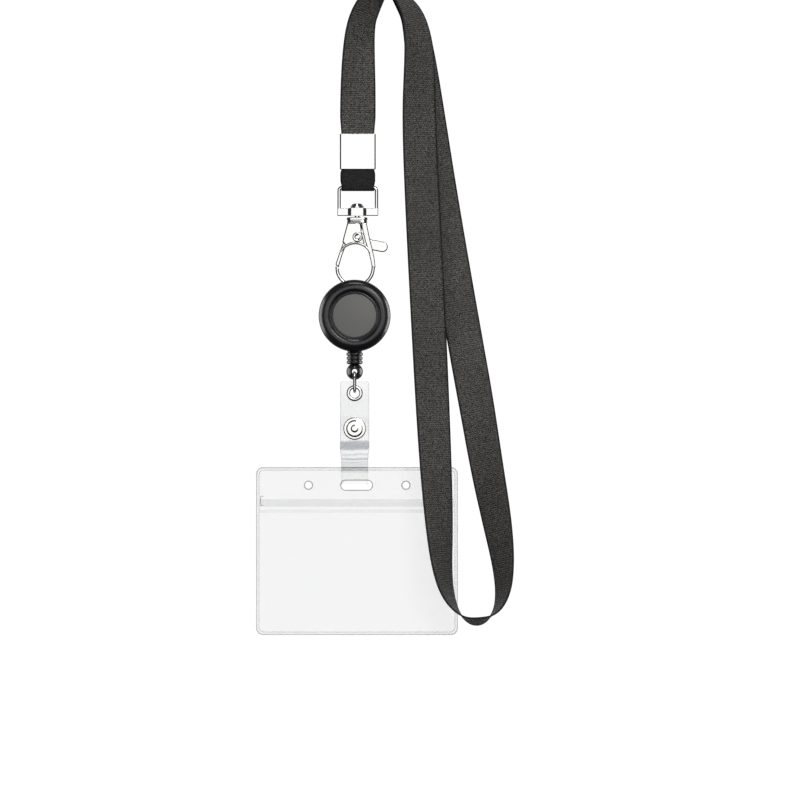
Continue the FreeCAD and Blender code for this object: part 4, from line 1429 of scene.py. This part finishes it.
# ------------------------------------------------------------------ pouch
@dataclass
class BadgePouch:
    """The clear zip-top pouch."""

    x: float = -13.55
    width: float = 89.8
    top: float = -211.1
    bottom: float = -285.8
    corner: float = 3.0
    mouth: float = -224.9
    hole_z: float = -219.2
    hole_xs: tuple[float, float] = (-35.1, 8.2)
    hole_r: float = 2.0
    slot_x: float = -13.7
    slot_length: float = 14.2
    slot_height: float = 4.5
    half_bead: float = 43.2

    def build(self, finishes: Finishes) -> None:
        """Builds the pouch's sheets, welds and zip.

        Args:
            finishes: the finishes.
        """
        self.sheets(finishes)
        self.welds(finishes)
        self.zip(finishes)
        self.rims(finishes)

    def outline(
        self, inset: float, top: float, round_top: bool, round_bottom: bool, bottom: float | None = None
    ) -> list[Pair]:
        """The pouch's outline, from its top right corner over the top and round.

        Args:
            inset: how far it is drawn in.
            top: its top before that.
            round_top: whether its top corners are round.
            round_bottom: whether its bottom corners are round.
            bottom: its bottom, or None for the pouch's own.

        Returns:
            Points of (x, z).
        """
        half = self.width / 2 - inset
        low = self.bottom + inset if bottom is None else bottom
        high = top - inset if round_top else top
        r = self.corner - inset * 0.6
        left, right = self.x - half, self.x + half
        points: list[Pair] = []
        points += arc(right - r, high - r, r, 0, 90, 8) if round_top else [(right, high)]
        points += arc(left + r, high - r, r, 90, 180, 8) if round_top else [(left, high)]
        points += arc(left + r, low + r, r, 180, 270, 8) if round_bottom else [(left, low)]
        points += arc(right - r, low + r, r, 270, 360, 8) if round_bottom else [(right, low)]
        return points

    def slot_outline(self) -> list[Pair]:
        """The strap slot's rounded outline.

        Returns:
            Points of (x, z).
        """
        r = self.slot_height / 2
        reach = self.slot_length / 2 - r
        points = arc(self.slot_x + reach, self.hole_z, r, -90, 90, 12)
        return points + arc(self.slot_x - reach, self.hole_z, r, 90, 270, 12)

    def sheet(
        self, outline: Sequence[Pair], holes: Sequence[Sequence[Pair]], y0: float, y1: float
    ) -> bmesh.types.BMesh:
        """A flat sheet with holes through it.

        Args:
            outline: its outline of (x, z).
            holes: the outlines of its holes.
            y0: its front.
            y1: its back.

        Returns:
            The closed sheet.
        """
        bm = bmesh.new()
        edges = []
        for ring in (outline, *holes):
            verts = [bm.verts.new(mm(x, y0, z)) for x, z in ring]
            edges += [bm.edges.new((a, b)) for a, b in zip(verts, verts[1:] + verts[:1])]
        bmesh.ops.triangle_fill(bm, use_beauty=True, use_dissolve=False, edges=edges)
        push(bm, bm.faces[:], mm(0, y1 - y0, 0))
        outward(bm)
        return bm

    def sheets(self, finishes: Finishes) -> None:
        """The back sheet, the header layer and the front sheet.

        Args:
            finishes: the finishes.
        """
        holes = [self.slot_outline()] + [arc(x, self.hole_z, self.hole_r, 0, 354, 30) for x in self.hole_xs]
        bm = self.sheet(self.outline(0, self.top, True, True), holes, 0.0, 0.4)
        piece("pouch_rear", bm, Body.POUCH, finishes.sheet, finishes, ["pouch_back"])
        bm = self.sheet(self.outline(0, self.top, True, False, self.mouth), holes, -0.4, -0.02)
        piece("pouch_head", bm, Body.POUCH, finishes.sheet, finishes, ["pouch_header"])
        bm = self.sheet(self.outline(0, self.mouth - 0.15, False, True), [], -1.4, -1.0)
        piece("pouch_face", bm, Body.POUCH, finishes.sheet, finishes, ["pouch_front"])

    def closed_wire(self, ring: Sequence[Pair], y: float, radius: float) -> bpy.types.Mesh:
        """A thin round bead along a closed outline."""
        return wire([(x, y, z) for x, z in ring], radius, cyclic=True, resolution=3)

    def dense(self, ring: Sequence[Pair], step: float = 6.0) -> list[Pair]:
        """Adds points on long straight runs so that a smooth curve keeps its corners.

        Args:
            ring: a closed outline.
            step: the longest run left without a point between.

        Returns:
            The outline with the added points.
        """
        points: list[Pair] = []
        for (x0, z0), (x1, z1) in zip(ring, list(ring[1:]) + [ring[0]]):
            count = max(1, int(math.hypot(x1 - x0, z1 - z0) / step))
            points += [(x0 + (x1 - x0) * k / count, z0 + (z1 - z0) * k / count) for k in range(count)]
        return points

    def welds(self, finishes: Finishes) -> None:
        """The welded edge: an outer bead and an inner line.

        Args:
            finishes: the finishes.
        """
        outer = self.dense(self.outline(0.3, self.top, True, True))
        mesh = self.closed_wire(outer, -0.45, 0.3)
        piece("edge_bead", mesh, Body.POUCH, finishes.bead, finishes, ["weld_bead", "header_bead"], 60.0)
        inner = self.dense(self.outline(1.35, self.top, True, True))
        mesh = self.closed_wire(inner, -0.5, 0.17)
        piece("inner_weld", mesh, Body.POUCH, finishes.bead, finishes, (), 60.0)

    def extruded(self, section: Sequence[Pair], left: float, right: float) -> bmesh.types.BMesh:
        """A long piece with a (y, z) section, from left to right.

        Args:
            section: its section.
            left: its left end.
            right: its right end.

        Returns:
            The closed shape.
        """
        bm = bmesh.new()
        face = bm.faces.new([bm.verts.new(mm(left, y, z)) for y, z in section])
        push(bm, [face], mm(right - left, 0, 0))
        outward(bm)
        return bm

    def zip(self, finishes: Finishes) -> None:
        """The zip's base strips and rails, and the raised line under it.

        Args:
            finishes: the finishes.
        """
        left, right = self.x - self.half_bead, self.x + self.half_bead
        ribs: list[Pair] = [(-0.66, -225.2), (-0.66, -228.9)]
        for rail in (-228.6, -227.5, -226.7, -225.5):
            ribs += [(-0.8, rail - 0.28), (-0.95, rail - 0.16), (-0.95, rail + 0.16), (-0.8, rail + 0.28)]
        bm = self.extruded(ribs, left, right)
        piece("zip_ribs", bm, Body.POUCH, finishes.rail, finishes, ["zip_rib"])
        groove = [(-0.08, -225.45), (-0.08, -228.65), (-0.3, -228.65), (-0.5, -228.3)]
        groove += [(-0.5, -225.8), (-0.3, -225.45)]
        bm = self.extruded(groove, left, right)
        piece("zip_groove", bm, Body.POUCH, finishes.rail, finishes, ["zip_track"])
        bm = plate([(right, -230.0), (left, -230.0), (left, -231.4), (right, -231.4)], -1.72, -1.4, 0.12)
        piece("mouth_ridge", bm, Body.POUCH, finishes.track, finishes, ["lip_ridge"])

    def rims(self, finishes: Finishes) -> None:
        """Raised rims round the slot and the holes, and the mark at the zip's end.

        Args:
            finishes: the finishes.
        """
        mesh = self.closed_wire(self.dense(self.slot_outline(), 1.5), -0.42, 0.22)
        piece("slot_rim", mesh, Body.POUCH, finishes.rim, finishes, (), 60.0)
        for k, x in enumerate(self.hole_xs):
            mesh = self.closed_wire(arc(x, self.hole_z, self.hole_r - 0.2, 0, 345, 23), -0.42, 0.26)
            piece(f"hole_rim_{k + 1}", mesh, Body.POUCH, finishes.rim, finishes, (), 60.0)
        left = self.x - self.half_bead + 0.35
        hook = ((1.3, -224.0), (0.3, -224.0), (0.0, -224.6), (0.0, -227.4), (0.3, -228.2), (1.3, -228.2))
        mesh = wire([(left + across, -1.5, z) for across, z in hook], 0.13, resolution=6)
        piece("zip_end_mark", mesh, Body.POUCH, finishes.mark, finishes, (), 60.0)


# ------------------------------------------------------------------ studio
@dataclass
class Studio:
    """The backdrop, the lights and the camera.

    The backdrop's sizes are in metres. Its floor is below the pouch when the cord is fully drawn.
    """

    centre: Point = (5.556, 0.0, -181.33)
    frame_width: float = 355.6
    distance: float = 1600.0
    wall_y: float = 6.0
    floor_z: float = -1.5
    sweep_bend: float = 1.0
    strips: list[bpy.types.Object] = field(default_factory=list)
    card: bpy.types.Object | None = None

    def build(self) -> None:
        """Builds the studio."""
        self.camera()
        self.backdrop()
        self.world()
        self.light("front", (0.05, -1.8, -0.05), (2.2, 1.1), 10.0)
        self.light("key", (0.45, -1.35, 0.5), (0.5, 0.5), 5.5)
        self.light("top", (0.0, -0.45, 0.75), (0.35, 0.2), 1.4)
        rear = self.light("rear", (0.0, 1.0, -0.15), (1.3, 1.3), 5.4)
        rear.visible_glossy = False
        self.strips = [
            self.light("left_strip", (-0.85, 0.05, -0.15), (0.8, 0.9), 9.0),
            self.light("right_strip", (0.85, 0.05, -0.15), (0.8, 0.9), 15.0),
        ]
        self.card = self.light("low_card", (-0.015, -0.68, -1.2), (0.7, 0.4), 1.1)

    def line_up_strips(self, pieces: Iterable[bpy.types.Object]) -> None:
        """Lets the side strips show only in the glossy black pieces, and the low card in the link.

        Args:
            pieces: the glossy black pieces.
        """
        group = bpy.data.collections.new("strip_lit")
        for obj in pieces:
            group.objects.link(obj)
        for lamp in self.strips:
            lamp.light_linking.receiver_collection = group
        wire_group = bpy.data.collections.new("card_lit")
        wire_group.objects.link(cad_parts["link_ring"])
        self.card.light_linking.receiver_collection = wire_group

    def camera(self) -> None:
        """A long lens straight in front."""
        data = bpy.data.cameras.new("camera")
        data.sensor_width = 36.0
        data.lens = 36.0 * self.distance / self.frame_width
        data.clip_end = 20.0
        camera = bpy.data.objects.new("camera", data)
        bpy.context.scene.collection.objects.link(camera)
        x, _, z = self.centre
        camera.location = mm(x, -self.distance, z)
        camera.rotation_euler = (math.pi / 2, 0, 0)
        bpy.context.scene.camera = camera
        bpy.context.scene.view_settings.view_transform = "Standard"

    def backdrop(self) -> None:
        """A white sweep: a floor that curves up into a wall."""
        bm = bmesh.new()
        wall, floor, bend = self.wall_y, self.floor_z, self.sweep_bend
        profile = [(-wall, floor)] + arc(wall - bend, floor + bend, bend, -90, 0, 10) + [(wall, wall)]
        verts = [bm.verts.new((-wall, y, z)) for y, z in profile]
        edges = [bm.edges.new((a, b)) for a, b in zip(verts, verts[1:])]
        made = bmesh.ops.extrude_edge_only(bm, edges=edges)
        moved = [g for g in made["geom"] if isinstance(g, bmesh.types.BMVert)]
        bmesh.ops.translate(bm, verts=moved, vec=(2 * wall, 0, 0))
        mesh = bpy.data.meshes.new("sweep")
        bm.to_mesh(mesh)
        bm.free()
        mesh.materials.append(StudioWhite().make())
        mesh.shade_smooth()
        sweep = bpy.data.objects.new("sweep", mesh)
        bpy.context.scene.collection.objects.link(sweep)
        sweep.visible_glossy = False
        sweep.visible_diffuse = False

    def world(self) -> None:
        """A white surround for the camera and a softer one for light and reflections."""
        world = bpy.data.worlds.new("studio")
        bpy.context.scene.world = world
        world.use_nodes = True
        tree = world.node_tree

        def add(kind: str, links: dict[Any, Any], **settings: Any) -> Any:
            """Adds a node and links or sets its inputs."""
            node = tree.nodes.new("ShaderNode" + kind)
            for key, value in settings.items():
                setattr(node, key, value)
            for key, value in links.items():
                if isinstance(value, bpy.types.NodeSocket):
                    tree.links.new(value, node.inputs[key])
                else:
                    node.inputs[key].default_value = value
            return node

        split = add("SeparateXYZ", {0: add("TexCoord", {}).outputs["Generated"]})
        lift = add("Math", {0: split.outputs[2], 1: 0.5, 2: 0.5}, operation="MULTIPLY_ADD")
        ramp = add("ValToRGB", {0: lift.outputs[0]})
        low, high = ramp.color_ramp.elements
        low.position, low.color = 0.30, (0.012, 0.012, 0.012, 1)
        high.position, high.color = 0.85, (0.06, 0.06, 0.065, 1)
        behind = add("MapRange", {"Value": split.outputs[1], "From Min": 0.35, "From Max": 0.9})
        inputs = {0: behind.outputs[0], 6: ramp.outputs[0], 7: (0.5, 0.5, 0.5, 1)}
        glow = add("Mix", inputs, data_type="RGBA")
        seen = add("LightPath", {}).outputs["Is Camera Ray"]
        mix = add("Mix", {0: seen, 6: glow.outputs[2], 7: (1, 1, 1, 1)}, data_type="RGBA")
        shade = tree.nodes["Background"]
        shade.inputs[1].default_value = 1.0
        tree.links.new(mix.outputs[2], shade.inputs[0])

    def light(self, name: str, place: Point, size: Pair, power: float) -> bpy.types.Object:
        """A soft area light that faces the object.

        Args:
            name: the light's name.
            place: where it stands, in metres.
            size: its width and height in metres.
            power: its power in watts.

        Returns:
            The light's object.
        """
        data = bpy.data.lights.new(name, "AREA")
        data.shape = "RECTANGLE"
        data.size, data.size_y = size
        data.energy = power
        lamp = bpy.data.objects.new(name, data)
        bpy.context.scene.collection.objects.link(lamp)
        lamp.location = place
        aim = mm(*self.centre) - Vector(place)
        lamp.rotation_euler = aim.to_track_quat("-Z", "Y").to_euler()
        return lamp


def main() -> None:
    """Builds the studio and every sub-assembly."""
    studio = Studio()
    studio.build()
    finishes = Finishes()
    for part in (NeckRibbon(), SwivelHook(), CordReel(), SnapStrap(), BadgePouch()):
        part.build(finishes)
    meshes = [o for o in bpy.data.objects if o.type == "MESH"]
    glossy = [o for o in meshes if finishes.black in list(o.data.materials)]
    studio.line_up_strips(glossy)


if __name__ == "__main__":
    logging.basicConfig(level=logging.INFO)
    main()
